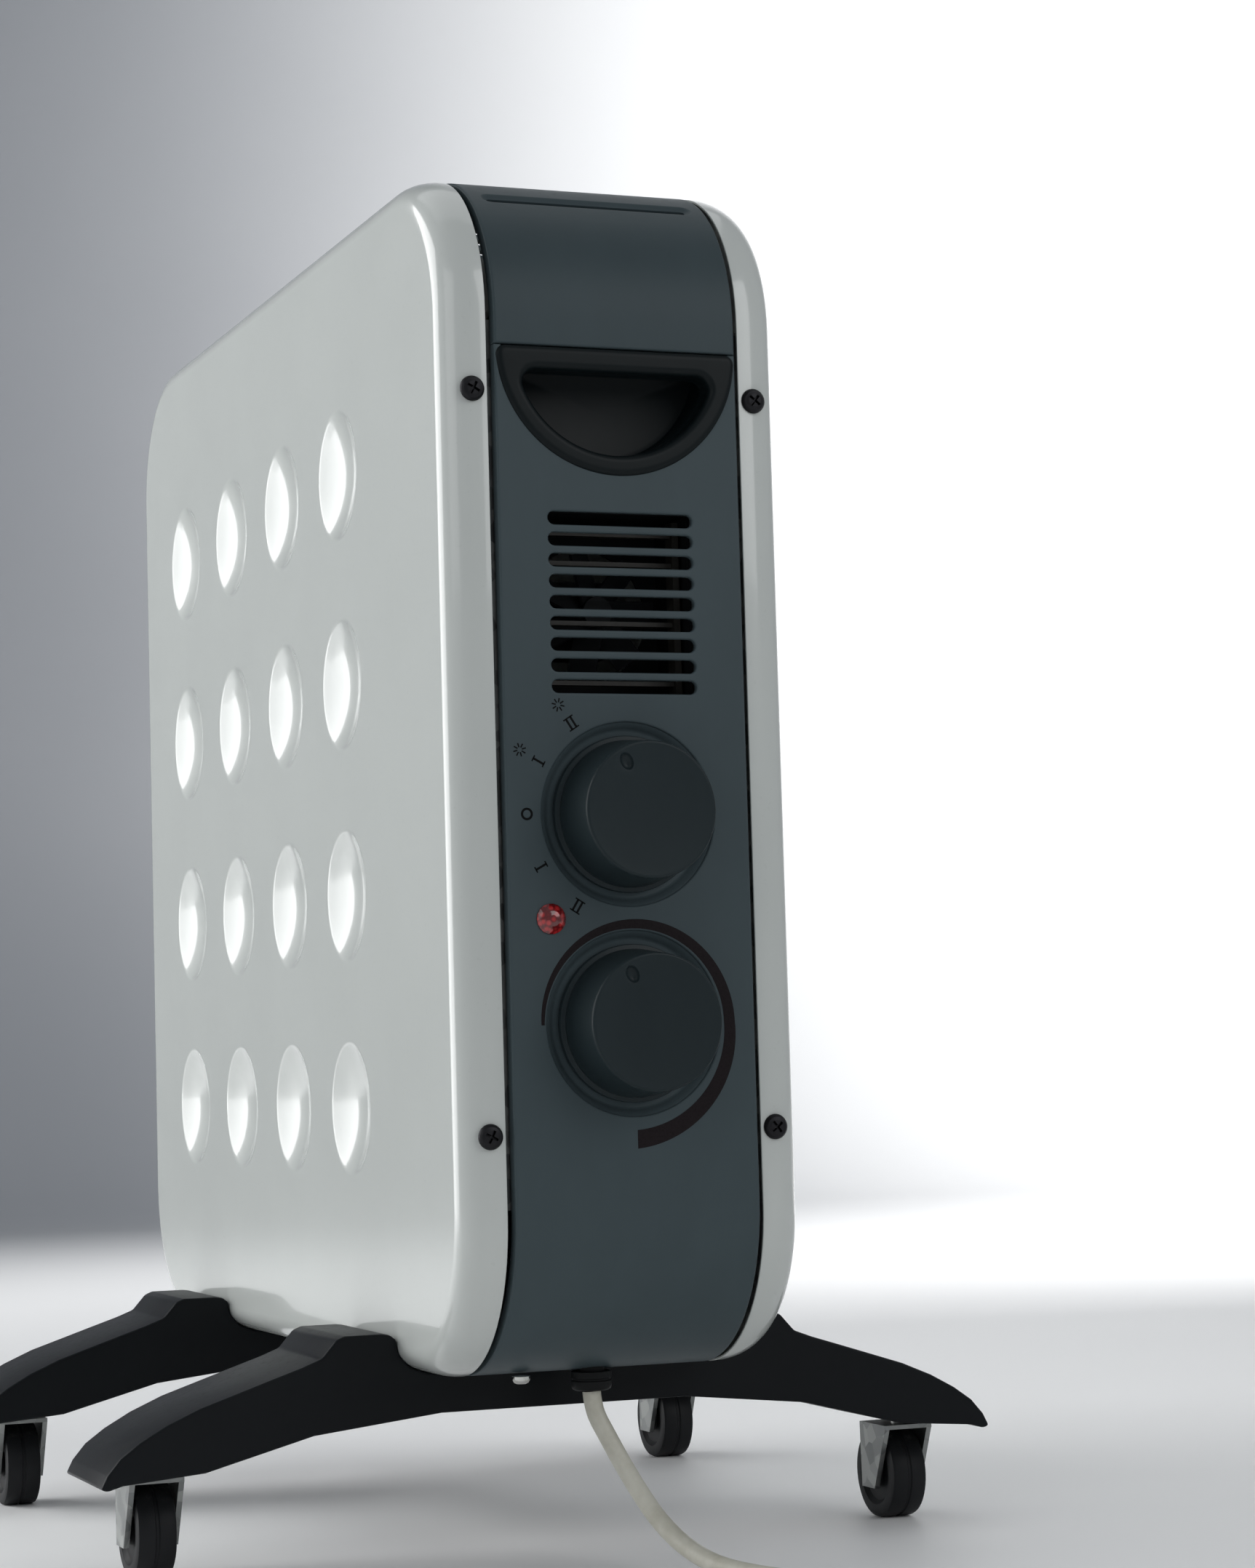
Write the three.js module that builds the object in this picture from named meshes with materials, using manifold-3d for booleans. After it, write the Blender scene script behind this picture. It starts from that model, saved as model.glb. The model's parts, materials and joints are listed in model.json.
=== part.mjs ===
// Oil filled radiator heater: sheet steel side panels around a row of oil elements,
// a plastic control housing with a turbo fan, two arched feet and four swivel casters.
// Millimetres, +Z up, the control end faces -Y. The origin is on the floor under the middle.
import * as THREE from 'three';
import { mergeVertices } from 'three/addons/utils/BufferGeometryUtils.js';
import Module from 'manifold-3d';

const wasm = await Module();
wasm.setup();

// ---- driving dimensions ----
const BODY_WIDTH = 160;
const BODY_HEIGHT = 541;
const BODY_LENGTH = 565;
const CORNER_RADIUS = 72.7;
const GAP = 0.3;

// side panels
const SHEET = 0.9;
const ROLL_WIDTH = 18.8;
const ROLL_DEPTH = 12.7;
const FLANGE_LIP = 1.4;
const DIMPLE_RADIUS = 31;
const DIMPLE_DEPTH = 7.8;
const DIMPLE_RINGS = [0.45, 0.78, 1];
const DIMPLE_END_MARGIN = 119.3;
const DIMPLE_REAR_MARGIN = 103.3;
const DIMPLE_ROWS = 4;
const DIMPLE_COLUMNS = 4;
const FIRST_DIMPLE_Y = 163.2;

// plastic housings between the panels
const HOUSING_WALL = 2.5;
const HOUSING_PROUD = 3;
const HOUSING_SIDE_GAP = 2.7;
const HOUSING_DEPTH = 118;
const REAR_COVER_DEPTH = 76;
const CHEEK_DEPTH = 6;
const CUP_SETBACK = 0.5;
const PART_LINE_DROP = 87.8;
const TOP_SLOT_LENGTH = 96;
const TOP_SLOT_WIDTH = 3.4;
const TOP_SLOT_ANGLE = 53.5;

// front vents
const VENT_COUNT = 9;
const VENT_PITCH = 9.3;
const VENT_LENGTH = 68.4;
const VENT_WIDTH = 6;
const TOP_VENT_DROP = 163.9;

// carrying handle
const HANDLE_SIDE_GAP = 0.4;
const HANDLE_RIM_PROUD = 1.5;
const HANDLE_LAP = 3.2;
const HANDLE_RIM = 9.2;
const POCKET_TOP_DROP = 10.4;
const POCKET_DEPTH = 28;
const GRIP_THICKNESS = 9;
const HANDLE_WALL = 2.5;

// controls
const SELECTOR_HEIGHT = 246.6;
const RECESS_SPACING = 10.7;
const RECESS_MARGIN = 5.9;
const RECESS_DEPTH = 4;
const RECESS_SLOPE = 3;
const KNOB_SEAT_GAP = 1;
const KNOB_BASE_RADIUS = 34.6;
const KNOB_BASE_THICKNESS = 3;
const KNOB_BASE_STEP = 2.2;
const KNOB_TAPER = 2.4;
const KNOB_PROUD = 28;
const POINTER_FROM_EDGE = 6.5;
const POINTER_ANGLE = 28;
const SHAFT_RADIUS = 3;
const SHAFT_IN_KNOB = 18;
const SHAFT_HOLE_GAP = 1;
const SWITCH_SETBACK = 4;
const SWITCH_HALF = 17;
const SWITCH_BODY_DEPTH = 24;
const SWITCH_TAB_REACH = 9;
const THERMOSTAT_HALF_WIDTH = 15;
const THERMOSTAT_HALF_HEIGHT = 22;
const THERMOSTAT_DEPTH = 18;
const LENS_X = -37.6;
const LENS_HEIGHT = 200.9;
const LENS_RADIUS = 6.75;
const LENS_SEAT = 1;
const LENS_DOME = 3.2;
const LENS_BACK = 9;
const LAMP_RADIUS = 3;
const LAMP_BACK = 26;

// frames and screws
const FRAME_SHEET = 1.5;
const FRAME_SETBACK = 4.6;
const FRAME_SIDE_GAP = 8;
const FRAME_STRIP = 16;
const FRAME_END_GAP = 3;
const FRAME_WINDOW_GAP = 8;
const SCREW_FROM_SIDE = 13.2;
const SCREW_FROM_ENDS = 107.6;
const SCREW_HEAD_RADIUS = 5.65;
const SCREW_HEAD_HEIGHT = 2.6;
const SCREW_SHANK_RADIUS = 2;
const SCREW_LENGTH = 10;
const SCREW_HOLE_DEPTH = 12;
const SCREW_SLOT_REACH = 3;
const SCREW_SLOT_HALF = 0.55;
const SCREW_SLOT_DEPTH = 1.4;

// oil elements
const ELEMENT_COUNT = 9;
const FIRST_ELEMENT_Y = 152;
const LAST_ELEMENT_SETBACK = 45;
const ELEMENT_SIDE_GAP = 18;
const ELEMENT_SHEET = 1.6;
const ELEMENT_END_GAP = 12;
const ELEMENT_CORNER = 24;
const HEADER_RADIUS = 27;
const HEADER_BORE = 24.5;
const HEADER_INSET = 66;
const ROD_RADIUS = 3.6;
const ROD_SPREAD = 9;
const ROD_HEAD_DEPTH = 8;
const TERMINAL_RADIUS = 2;
const TERMINAL_REACH = 22;
const CUTOUT_RADIUS = 9;
const CUTOUT_X = 30;
const CUTOUT_HEIGHT = 200;
const FILLER_LENGTH = 8;

// top grille
const GRILLE_DROP = 1;
const GRILLE_MARGIN = 11;
const GRILLE_END_MARGIN = 8;
const GRILLE_PITCH = 20;
const GRILLE_SLOT = 12;

// fan
const FAN_RADIUS = 28;
const FAN_BLADES = 7;
const FAN_SETBACK = 18;
const FAN_HUB_RADIUS = 7;
const FAN_DEPTH = 14;
const FAN_BLADE_SHEET = 1.4;
const FAN_BLADE_PITCH = 35;
const FAN_SHAFT_RADIUS = 2;
const DUCT_HALF_WIDTH = 38;
const DUCT_HALF_HEIGHT = 43;
const DUCT_WALL = 1.5;
const DUCT_DEPTH = 40;
const MOTOR_SIZE = 34;
const MOTOR_DEPTH = 24;
const MOTOR_SETBACK = 4;
const MOTOR_BRIDGE_HALF = 5;
const HEATING_STRIPS = 6;
const HEATING_SETBACK = 5;

// feet and casters
const FOOT_DEPTH = 73;
const FRONT_FOOT_Y = 97;
const ARM_REACH = 110;
const SADDLE_TOP = 18.5;
const SADDLE_WIDTH = 27;
const FOOT_DROP = 18.5;
const TIP_DROP = 43;
const SADDLE_GAP = 0.7;
const PAD_INSET = 8;
const PAD_SIDE_GAP = 9;
const FORK_DROP = 43.4;
const CASTER_REACH = 79;
const WHEEL_RADIUS = 22;
const WHEEL_WIDTH = 18;
const WHEEL_FACETS = 20;
const WHEEL_CHAMFER = 1.5;
const WHEEL_SIDE_GAP = 1;
const CASTER_TRAIL = 10;
const AXLE_RADIUS = 3;
const FORK_WALL = 2.5;
const FORK_CLEARANCE = 0.9;
const STEM_RADIUS = 4;
const STEM_LENGTH = 12;
const CROWN_FRONT = 11;
const CROWN_BACK = 8;
const CHEEK_BELOW_AXLE = 7;

// cord
const CORD_DIAMETER = 8.5;
const CORD_EXIT = [0, 63];
const GROMMET_RADIUS = 9.2;
const GROMMET_DROP = 9;
const GROMMET_SHANK = 6.5;
const GROMMET_CHAMFER = 1.4;
const UNDERSIDE_SCREW = [-35.8, 56.5];
const COIL_CENTRE = [70, -240];
const COIL_MID_RADIUS = 47;
const COIL_TURNS_WIDE = 2;
const COIL_TURNS_HIGH = 2;
const COIL_LIFT = 1.4;
const TIE_WIDTH = 14;
const TIE_SHEET = 1;
const TIE_SLACK = 0.6;
const TAIL_REACH = 53.6;
const TAIL_LIFT = 0.3;
const CORD_SIDES = 8;
const PLUG_LENGTH = 46;
const PLUG_RADIUS = 16;
const PLUG_PIN_RADIUS = 2.4;
const PLUG_PIN_SPACING = 19;
const PLUG_PIN_LENGTH = 19;
const PLUG_STRAIGHT = 20;
const PLUG_NECK = 8;

// how far a cutting tool runs past what it cuts
const PAST = 1;
const WELL_PAST = 5;

// ---- derived places ----
const HALF_WIDTH = BODY_WIDTH / 2;
const WHEEL_CENTRE = WHEEL_RADIUS * Math.cos(Math.PI / WHEEL_FACETS);
const FORK_TOP = WHEEL_CENTRE + WHEEL_RADIUS + FORK_CLEARANCE;
const BODY_BOTTOM = FORK_TOP + FORK_DROP;
const BODY_TOP = BODY_BOTTOM + BODY_HEIGHT;
const FLANGE_EDGE = HALF_WIDTH - ROLL_WIDTH - FLANGE_LIP;
const HOUSING_HALF = FLANGE_EDGE - HOUSING_SIDE_GAP;
const FACE_Y = -HOUSING_PROUD;
const PART_LINE = BODY_TOP - PART_LINE_DROP;
const TOP_VENT = BODY_TOP - TOP_VENT_DROP;
const VENT_CENTRE = TOP_VENT - VENT_PITCH * (VENT_COUNT - 1) / 2;
const RECESS_RADIUS = KNOB_BASE_RADIUS + RECESS_MARGIN;
const THERMOSTAT_HEIGHT = SELECTOR_HEIGHT - 2 * RECESS_RADIUS - RECESS_SPACING;
const KNOB_WAIST_RADIUS = KNOB_BASE_RADIUS - KNOB_BASE_STEP;
const KNOB_FACE_RADIUS = KNOB_WAIST_RADIUS - KNOB_TAPER;
const POINTER_RADIUS = KNOB_FACE_RADIUS - POINTER_FROM_EDGE;
const HANDLE_RADIUS = HOUSING_HALF - HANDLE_SIDE_GAP;
const HANDLE_COLLAR_RADIUS = HANDLE_RADIUS - HANDLE_LAP;
const POCKET_RADIUS = HANDLE_RADIUS - HANDLE_RIM;
const DIMPLE_PITCH_Y = (BODY_LENGTH - FIRST_DIMPLE_Y - DIMPLE_REAR_MARGIN) / (DIMPLE_COLUMNS - 1);
const DIMPLE_PITCH_Z = (BODY_HEIGHT - 2 * DIMPLE_END_MARGIN) / (DIMPLE_ROWS - 1);
const ELEMENT_PITCH = (BODY_LENGTH - FIRST_ELEMENT_Y - LAST_ELEMENT_SETBACK) / (ELEMENT_COUNT - 1);
const ELEMENT_HALF_WIDTH = HALF_WIDTH - ELEMENT_SIDE_GAP;
const ELEMENT_FRONT = FIRST_ELEMENT_Y - (ELEMENT_PITCH - GAP) / 2;
const ELEMENT_BACK = BODY_LENGTH - LAST_ELEMENT_SETBACK + (ELEMENT_PITCH - GAP) / 2;
const FRAME_HALF_WIDTH = HALF_WIDTH - FRAME_SIDE_GAP;
const FRAME_WINDOW_HALF_WIDTH = FRAME_HALF_WIDTH - FRAME_STRIP;
const SCREW_X = HALF_WIDTH - SCREW_FROM_SIDE;
const SCREW_HEIGHTS = [SCREW_FROM_ENDS, BODY_HEIGHT - SCREW_FROM_ENDS];
const SWITCH_FRONT = FRAME_SETBACK + FRAME_SHEET + SWITCH_SETBACK;
const FAN_Y = SWITCH_FRONT + FAN_SETBACK;
const SADDLE_OUTER = HALF_WIDTH + SADDLE_WIDTH;
const FOOT_HALF_SPAN = SADDLE_OUTER + ARM_REACH;
const CASTER_X = SADDLE_OUTER + CASTER_REACH;
const COIL_HALF = COIL_TURNS_WIDE * CORD_DIAMETER / 2;
const KNOB_FRONT = FACE_Y - KNOB_PROUD;
const REAR_END = BODY_LENGTH + HOUSING_PROUD;
const REAR_FOOT_Y = BODY_LENGTH - FRONT_FOOT_Y - FOOT_DEPTH;
const MIDDLE_Y = (KNOB_FRONT + REAR_END) / 2;

const FINISHES = {
  enamel: { color: 0xdfe3e1, roughness: 0.3, metalness: 0 },
  charcoal: { color: 0x3b4144, roughness: 0.5, metalness: 0 },
  black: { color: 0x1c1d1f, roughness: 0.55, metalness: 0 },
  foot: { color: 0x202326, roughness: 0.6, metalness: 0 },
  steel: { color: 0xa9adb0, roughness: 0.4, metalness: 1 },
  oilSteel: { color: 0xd2d5d3, roughness: 0.45, metalness: 0 },
  chrome: { color: 0xe0e2e4, roughness: 0.12, metalness: 1 },
  lens: { color: 0x8e1a1a, roughness: 0.15, metalness: 0 },
  glass: { color: 0xe9dcc8, roughness: 0.1, metalness: 0 },
  mica: { color: 0xb9a98c, roughness: 0.7, metalness: 0 },
  bakelite: { color: 0x5a4632, roughness: 0.6, metalness: 0 },
  cord: { color: 0xc9c7ba, roughness: 0.5, metalness: 0 },
};

// ---- shape helpers ----
function solid(geometry) {
  const bare = geometry.clone();
  bare.deleteAttribute('normal');
  bare.deleteAttribute('uv');
  const merged = mergeVertices(bare, 1e-4);
  const vertProperties = new Float32Array(merged.attributes.position.array);
  const triVerts = new Uint32Array(merged.index.array);
  return new wasm.Manifold(new wasm.Mesh({ numProp: 3, vertProperties, triVerts }));
}

function surface(body) {
  const mesh = body.getMesh();
  const geometry = new THREE.BufferGeometry();
  geometry.setAttribute('position', new THREE.BufferAttribute(mesh.vertProperties, 3));
  geometry.setIndex(new THREE.BufferAttribute(mesh.triVerts, 1));
  return geometry;
}

function joined(...geometries) {
  return surface(geometries.map(solid).reduce((sum, next) => sum.add(next)));
}

function cutFrom(base, ...tools) {
  return surface(tools.map(solid).reduce((rest, tool) => rest.subtract(tool), solid(base)));
}

function block(x0, x1, y0, y1, z0, z1) {
  const box = new THREE.BoxGeometry(x1 - x0, y1 - y0, z1 - z0);
  return box.translate((x0 + x1) / 2, (y0 + y1) / 2, (z0 + z1) / 2);
}

function outline(points) {
  return new THREE.Shape(points.map(([a, b]) => new THREE.Vector2(a, b)));
}

function extruded(shape, depth) {
  return new THREE.ExtrudeGeometry(shape, { depth, bevelEnabled: false, curveSegments: 8 });
}

// an outline in Y and Z, from x0 to x1
function alongX(shape, x0, x1) {
  const basis = new THREE.Matrix4().set(0, 0, 1, x0, 1, 0, 0, 0, 0, 1, 0, 0, 0, 0, 0, 1);
  return extruded(shape, x1 - x0).applyMatrix4(basis);
}

// an outline in X and Z, from y0 to y1
function alongY(shape, y0, y1) {
  return extruded(shape, y1 - y0).rotateX(Math.PI / 2).translate(0, y1, 0);
}

// an outline in X and Y, from z0 to z1
function alongZ(shape, z0, z1) {
  return extruded(shape, z1 - z0).translate(0, 0, z0);
}

// a turned profile of [radius, height] points, its axis set along Y, pointing to +Y
function turnedY(profile, segments, x, z) {
  const points = profile.map(([r, h]) => new THREE.Vector2(r, h));
  return new THREE.LatheGeometry(points, segments).translate(x, 0, z);
}

// the same, its axis set along Z, pointing up
function turnedZ(profile, segments, x, y) {
  const points = profile.map(([r, h]) => new THREE.Vector2(r, h));
  return new THREE.LatheGeometry(points, segments).rotateX(Math.PI / 2).translate(x, y, 0);
}

// the same, its axis set along X, pointing to +X
function turnedX(profile, segments, y, z, phase = 0) {
  const points = profile.map(([r, h]) => new THREE.Vector2(r, h));
  const lathe = new THREE.LatheGeometry(points, segments, phase);
  return lathe.rotateZ(-Math.PI / 2).translate(0, y, z);
}

function rodY(radius, y0, y1, x, z, segments = 16) {
  return turnedY([[0, y0], [radius, y0], [radius, y1], [0, y1]], segments, x, z);
}

function rodZ(radius, z0, z1, x, y, segments = 16) {
  return turnedZ([[0, z0], [radius, z0], [radius, z1], [0, z1]], segments, x, y);
}

function arc(centreA, centreB, radius, fromDegrees, toDegrees, steps) {
  const points = [];
  for (let i = 0; i <= steps; i += 1) {
    const angle = THREE.MathUtils.degToRad(fromDegrees + (toDegrees - fromDegrees) * i / steps);
    points.push([centreA + radius * Math.cos(angle), centreB + radius * Math.sin(angle)]);
  }
  return points;
}

function roundedRectangle(a0, a1, b0, b1, radius, steps) {
  return [
    ...arc(a1 - radius, b0 + radius, radius, -90, 0, steps),
    ...arc(a1 - radius, b1 - radius, radius, 0, 90, steps),
    ...arc(a0 + radius, b1 - radius, radius, 90, 180, steps),
    ...arc(a0 + radius, b0 + radius, radius, 180, 270, steps),
  ];
}

// a closed skin over a stack of rings with the same number of points, capped at both ends
function ringStack(rings) {
  const count = rings[0].length;
  const positions = rings.flat(2);
  const index = [];
  for (let r = 0; r + 1 < rings.length; r += 1) {
    for (let i = 0; i < count; i += 1) {
      const j = (i + 1) % count;
      const [a, b, c, d] = [r * count + i, r * count + j, (r + 1) * count + j, (r + 1) * count + i];
      index.push(a, b, c, a, c, d);
    }
  }
  for (const [ring, flip] of [[0, true], [rings.length - 1, false]]) {
    for (let i = 1; i + 1 < count; i += 1) {
      const [a, b, c] = [ring * count, ring * count + i, ring * count + i + 1];
      index.push(...(flip ? [a, c, b] : [a, b, c]));
    }
  }
  const geometry = new THREE.BufferGeometry();
  geometry.setAttribute('position', new THREE.Float32BufferAttribute(positions, 3));
  geometry.setIndex(index);
  return geometry;
}

function mirroredX(geometry) {
  return surface(solid(geometry).mirror([1, 0, 0]));
}

// ---- the model ----
const heater = new THREE.Group();
heater.position.y = -MIDDLE_Y;

function add(name, geometry, finish) {
  const mesh = new THREE.Mesh(geometry, new THREE.MeshStandardMaterial(FINISHES[finish]));
  mesh.name = name;
  heater.add(mesh);
}

// The roll between a panel's side face and its flange: distance out from the roll's start,
// and inset from the outline, at an angle of 0 on the side face and 90 on the flange.
function rollPoint(degrees, inward) {
  const angle = THREE.MathUtils.degToRad(degrees);
  const out = (ROLL_WIDTH - inward) * Math.cos(angle);
  const inset = ROLL_DEPTH - (ROLL_DEPTH - inward) * Math.sin(angle);
  return [HALF_WIDTH - ROLL_WIDTH + out, inset];
}

function panelRing([x, inset]) {
  const loop = roundedRectangle(inset, BODY_LENGTH - inset, BODY_BOTTOM + inset, BODY_TOP - inset,
    CORNER_RADIUS - inset, 5);
  return loop.map(([y, z]) => [x, y, z]);
}

function dimplePlaces() {
  const middle = (BODY_BOTTOM + BODY_TOP) / 2;
  const places = [];
  for (let column = 0; column < DIMPLE_COLUMNS; column += 1) {
    for (let row = 0; row < DIMPLE_ROWS; row += 1) {
      const z = middle + DIMPLE_PITCH_Z * ((DIMPLE_ROWS - 1) / 2 - row);
      places.push([FIRST_DIMPLE_Y + DIMPLE_PITCH_Y * column, z]);
    }
  }
  return places;
}

function screwPlaces() {
  const heights = SCREW_HEIGHTS.map((height) => BODY_BOTTOM + height);
  return heights.flatMap((z) => [[-SCREW_X, z], [SCREW_X, z]]);
}

function screwHoles(y0, y1) {
  return screwPlaces().map(([x, z]) => rodY(SCREW_SHANK_RADIUS + GAP, y0, y1, x, z, 10));
}

// A dimple is a shallow piece of a sphere: its profile as [radius, depth below the face], from the middle out.
function dimpleProfile() {
  const sphere = (DIMPLE_RADIUS ** 2 + DIMPLE_DEPTH ** 2) / (2 * DIMPLE_DEPTH);
  const rings = DIMPLE_RINGS.map((share) => {
    const radius = DIMPLE_RADIUS * share;
    return [radius, Math.sqrt(sphere ** 2 - radius ** 2) - sphere + DIMPLE_DEPTH];
  });
  return [[0, DIMPLE_DEPTH], ...rings];
}

function rightSidePanel() {
  const angles = [90, 60, 30, 0];
  const outer = angles.map((a) => rollPoint(a, 0));
  const inner = angles.map((a) => rollPoint(a, SHEET));
  const rings = [...inner].reverse();
  rings.push([FLANGE_EDGE, SHEET], [FLANGE_EDGE, 0], ...outer);
  const tray = solid(ringStack(rings.map(panelRing)));
  const face = HALF_WIDTH;
  const rim = DIMPLE_RADIUS + SHEET;
  const middle = face - SHEET / 2;
  const above = face + PAST;
  const back = dimpleProfile().map(([r, depth]) => [r * (rim / DIMPLE_RADIUS), face - SHEET - depth]);
  const front = dimpleProfile().map(([r, depth]) => [r, face - depth]);
  const bulge = [...back, [rim, middle], [0, middle]];
  const dish = [...front, [DIMPLE_RADIUS, above], [0, above]];
  let panel = tray;
  for (const [y, z] of dimplePlaces()) {
    panel = panel.add(solid(turnedX(bulge, 10, y, z))).subtract(solid(turnedX(dish, 10, y, z)));
  }
  const frontHoles = screwHoles(-PAST, SCREW_HOLE_DEPTH);
  const rearHoles = screwHoles(BODY_LENGTH - SCREW_HOLE_DEPTH, BODY_LENGTH + PAST);
  for (const hole of [...frontHoles, ...rearHoles]) {
    panel = panel.subtract(solid(hole));
  }
  return surface(panel);
}

// The rounded end of a housing, as a path in Y and Z from the underside to the top.
function endPath(inset, steps, depth) {
  const radius = CORNER_RADIUS + HOUSING_PROUD;
  const y = FACE_Y + radius;
  return [
    [depth, BODY_BOTTOM + inset],
    ...arc(y, BODY_BOTTOM + radius, radius - inset, -90, -180, steps),
    ...arc(y, BODY_TOP - radius, radius - inset, 180, 90, steps),
    [depth, BODY_TOP - inset],
  ];
}

function endBand(thickness, depth) {
  return outline([...endPath(0, 7, depth), ...endPath(thickness, 7, depth).reverse()]);
}

function endShell(depth) {
  const half = HOUSING_HALF;
  const wall = alongX(endBand(HOUSING_WALL, depth), -half, half);
  const cheek = endBand(CHEEK_DEPTH, depth);
  return joined(wall, alongX(cheek, -half, -half + HOUSING_WALL), alongX(cheek, half - HOUSING_WALL, half));
}

function slotOutline(length, width, centreX, centreZ) {
  const reach = (length - width) / 2;
  return outline([
    ...arc(centreX + reach, centreZ, width / 2, -90, 90, 3),
    ...arc(centreX - reach, centreZ, width / 2, 90, 270, 3),
  ]);
}

function ventCuts(y0, y1) {
  const cuts = [];
  for (let i = 0; i < VENT_COUNT; i += 1) {
    const z = TOP_VENT - VENT_PITCH * i;
    cuts.push(alongY(slotOutline(VENT_LENGTH, VENT_WIDTH, 0, z), y0, y1));
  }
  return cuts;
}

// A D standing on its round side: half a disc under a flat top that is dropped from its centre line.
function dOutline(radius, drop) {
  const dip = THREE.MathUtils.radToDeg(Math.asin(drop / radius));
  return outline(arc(0, PART_LINE, radius, -180 + dip, -dip, 16));
}

function controlHousing() {
  const behind = FACE_Y + RECESS_DEPTH;
  const ahead = FACE_Y - PAST;
  const heights = [SELECTOR_HEIGHT, THERMOSTAT_HEIGHT].map((height) => BODY_BOTTOM + height);
  const cups = heights.map((z) => rodY(
    RECESS_RADIUS + HOUSING_WALL, FACE_Y + CUP_SETBACK, behind + HOUSING_WALL, 0, z, 28));
  const recess = [[0, ahead], [RECESS_RADIUS, ahead], [RECESS_RADIUS, FACE_Y],
    [RECESS_RADIUS - RECESS_SLOPE, behind], [0, behind]];
  const recesses = heights.map((z) => turnedY(recess, 28, 0, z));
  const shaftHoles = heights.map((z) => rodY(
    SHAFT_RADIUS + SHAFT_HOLE_GAP, ahead, behind + HOUSING_WALL + WELL_PAST, 0, z, 12));
  const lensZ = BODY_BOTTOM + LENS_HEIGHT;
  const lensHole = rodY(LENS_RADIUS - LENS_SEAT, ahead, CHEEK_DEPTH + PAST, LENS_X, lensZ, 16);
  const upper = block(-HALF_WIDTH, HALF_WIDTH, FACE_Y - WELL_PAST, HOUSING_DEPTH + WELL_PAST,
    PART_LINE, BODY_TOP + WELL_PAST);
  const mouth = alongY(dOutline(HANDLE_COLLAR_RADIUS + GAP, 0), ahead, CHEEK_DEPTH + PAST);
  const cordHole = rodZ(GROMMET_SHANK + GAP, BODY_BOTTOM - PAST, BODY_BOTTOM + CHEEK_DEPTH, ...CORD_EXIT);
  const plain = cutFrom(endShell(HOUSING_DEPTH), upper, mouth, cordHole);
  const vents = ventCuts(ahead, CHEEK_DEPTH);
  return cutFrom(joined(plain, ...cups), ...recesses, ...shaftHoles, lensHole, ...vents);
}

function topCover() {
  const below = block(-HALF_WIDTH, HALF_WIDTH, FACE_Y - WELL_PAST, HOUSING_DEPTH + WELL_PAST,
    BODY_BOTTOM - WELL_PAST, PART_LINE + GAP);
  const radius = CORNER_RADIUS + HOUSING_PROUD;
  const angle = THREE.MathUtils.degToRad(180 - TOP_SLOT_ANGLE);
  const through = HOUSING_WALL + WELL_PAST;
  const slot = alongZ(slotOutline(TOP_SLOT_LENGTH, TOP_SLOT_WIDTH, 0, 0), -through, through);
  slot.rotateX(Math.PI / 2 - THREE.MathUtils.degToRad(TOP_SLOT_ANGLE));
  const slotY = FACE_Y + radius + radius * Math.cos(angle);
  slot.translate(0, slotY, BODY_TOP - radius + radius * Math.sin(angle));
  return cutFrom(endShell(HOUSING_DEPTH), below, slot);
}

function handleInsert() {
  const floor = POCKET_DEPTH - HANDLE_WALL;
  const rim = alongY(dOutline(HANDLE_RADIUS, GAP), FACE_Y - HANDLE_RIM_PROUD, FACE_Y - GAP);
  const collar = alongY(dOutline(HANDLE_COLLAR_RADIUS, GAP), FACE_Y - PAST, POCKET_DEPTH);
  const pocket = alongY(dOutline(POCKET_RADIUS, POCKET_TOP_DROP), FACE_Y - WELL_PAST, floor);
  const hook = alongY(dOutline(POCKET_RADIUS, HANDLE_WALL + GAP), FACE_Y + GRIP_THICKNESS, floor);
  return cutFrom(joined(rim, collar), pocket, hook);
}

function rearCover() {
  const shell = endShell(REAR_COVER_DEPTH).rotateZ(Math.PI).translate(0, BODY_LENGTH, 0);
  return cutFrom(shell, ...ventCuts(BODY_LENGTH - CHEEK_DEPTH, REAR_END + PAST));
}

// A steel frame behind the flanges that the panels are screwed to.
function endFrame(y0, plateAt) {
  const [ahead, behind] = [y0 - PAST, y0 + FRAME_SHEET + PAST];
  const low = BODY_BOTTOM + CORNER_RADIUS + FRAME_END_GAP;
  const high = BODY_TOP - CORNER_RADIUS - FRAME_END_GAP;
  const outer = block(-FRAME_HALF_WIDTH, FRAME_HALF_WIDTH, y0, y0 + FRAME_SHEET, low, high);
  const windows = plateAt.map(([from, to]) => block(
    -FRAME_WINDOW_HALF_WIDTH, FRAME_WINDOW_HALF_WIDTH, ahead, behind, from, to));
  const shafts = [SELECTOR_HEIGHT, THERMOSTAT_HEIGHT].map((height) => rodY(
    SHAFT_RADIUS + SHAFT_HOLE_GAP, ahead, behind, 0, BODY_BOTTOM + height, 12));
  const lamp = rodY(LENS_RADIUS, ahead, behind, LENS_X, BODY_BOTTOM + LENS_HEIGHT, 12);
  return cutFrom(outer, ...windows, ...shafts, lamp, ...screwHoles(ahead, behind));
}

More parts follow.
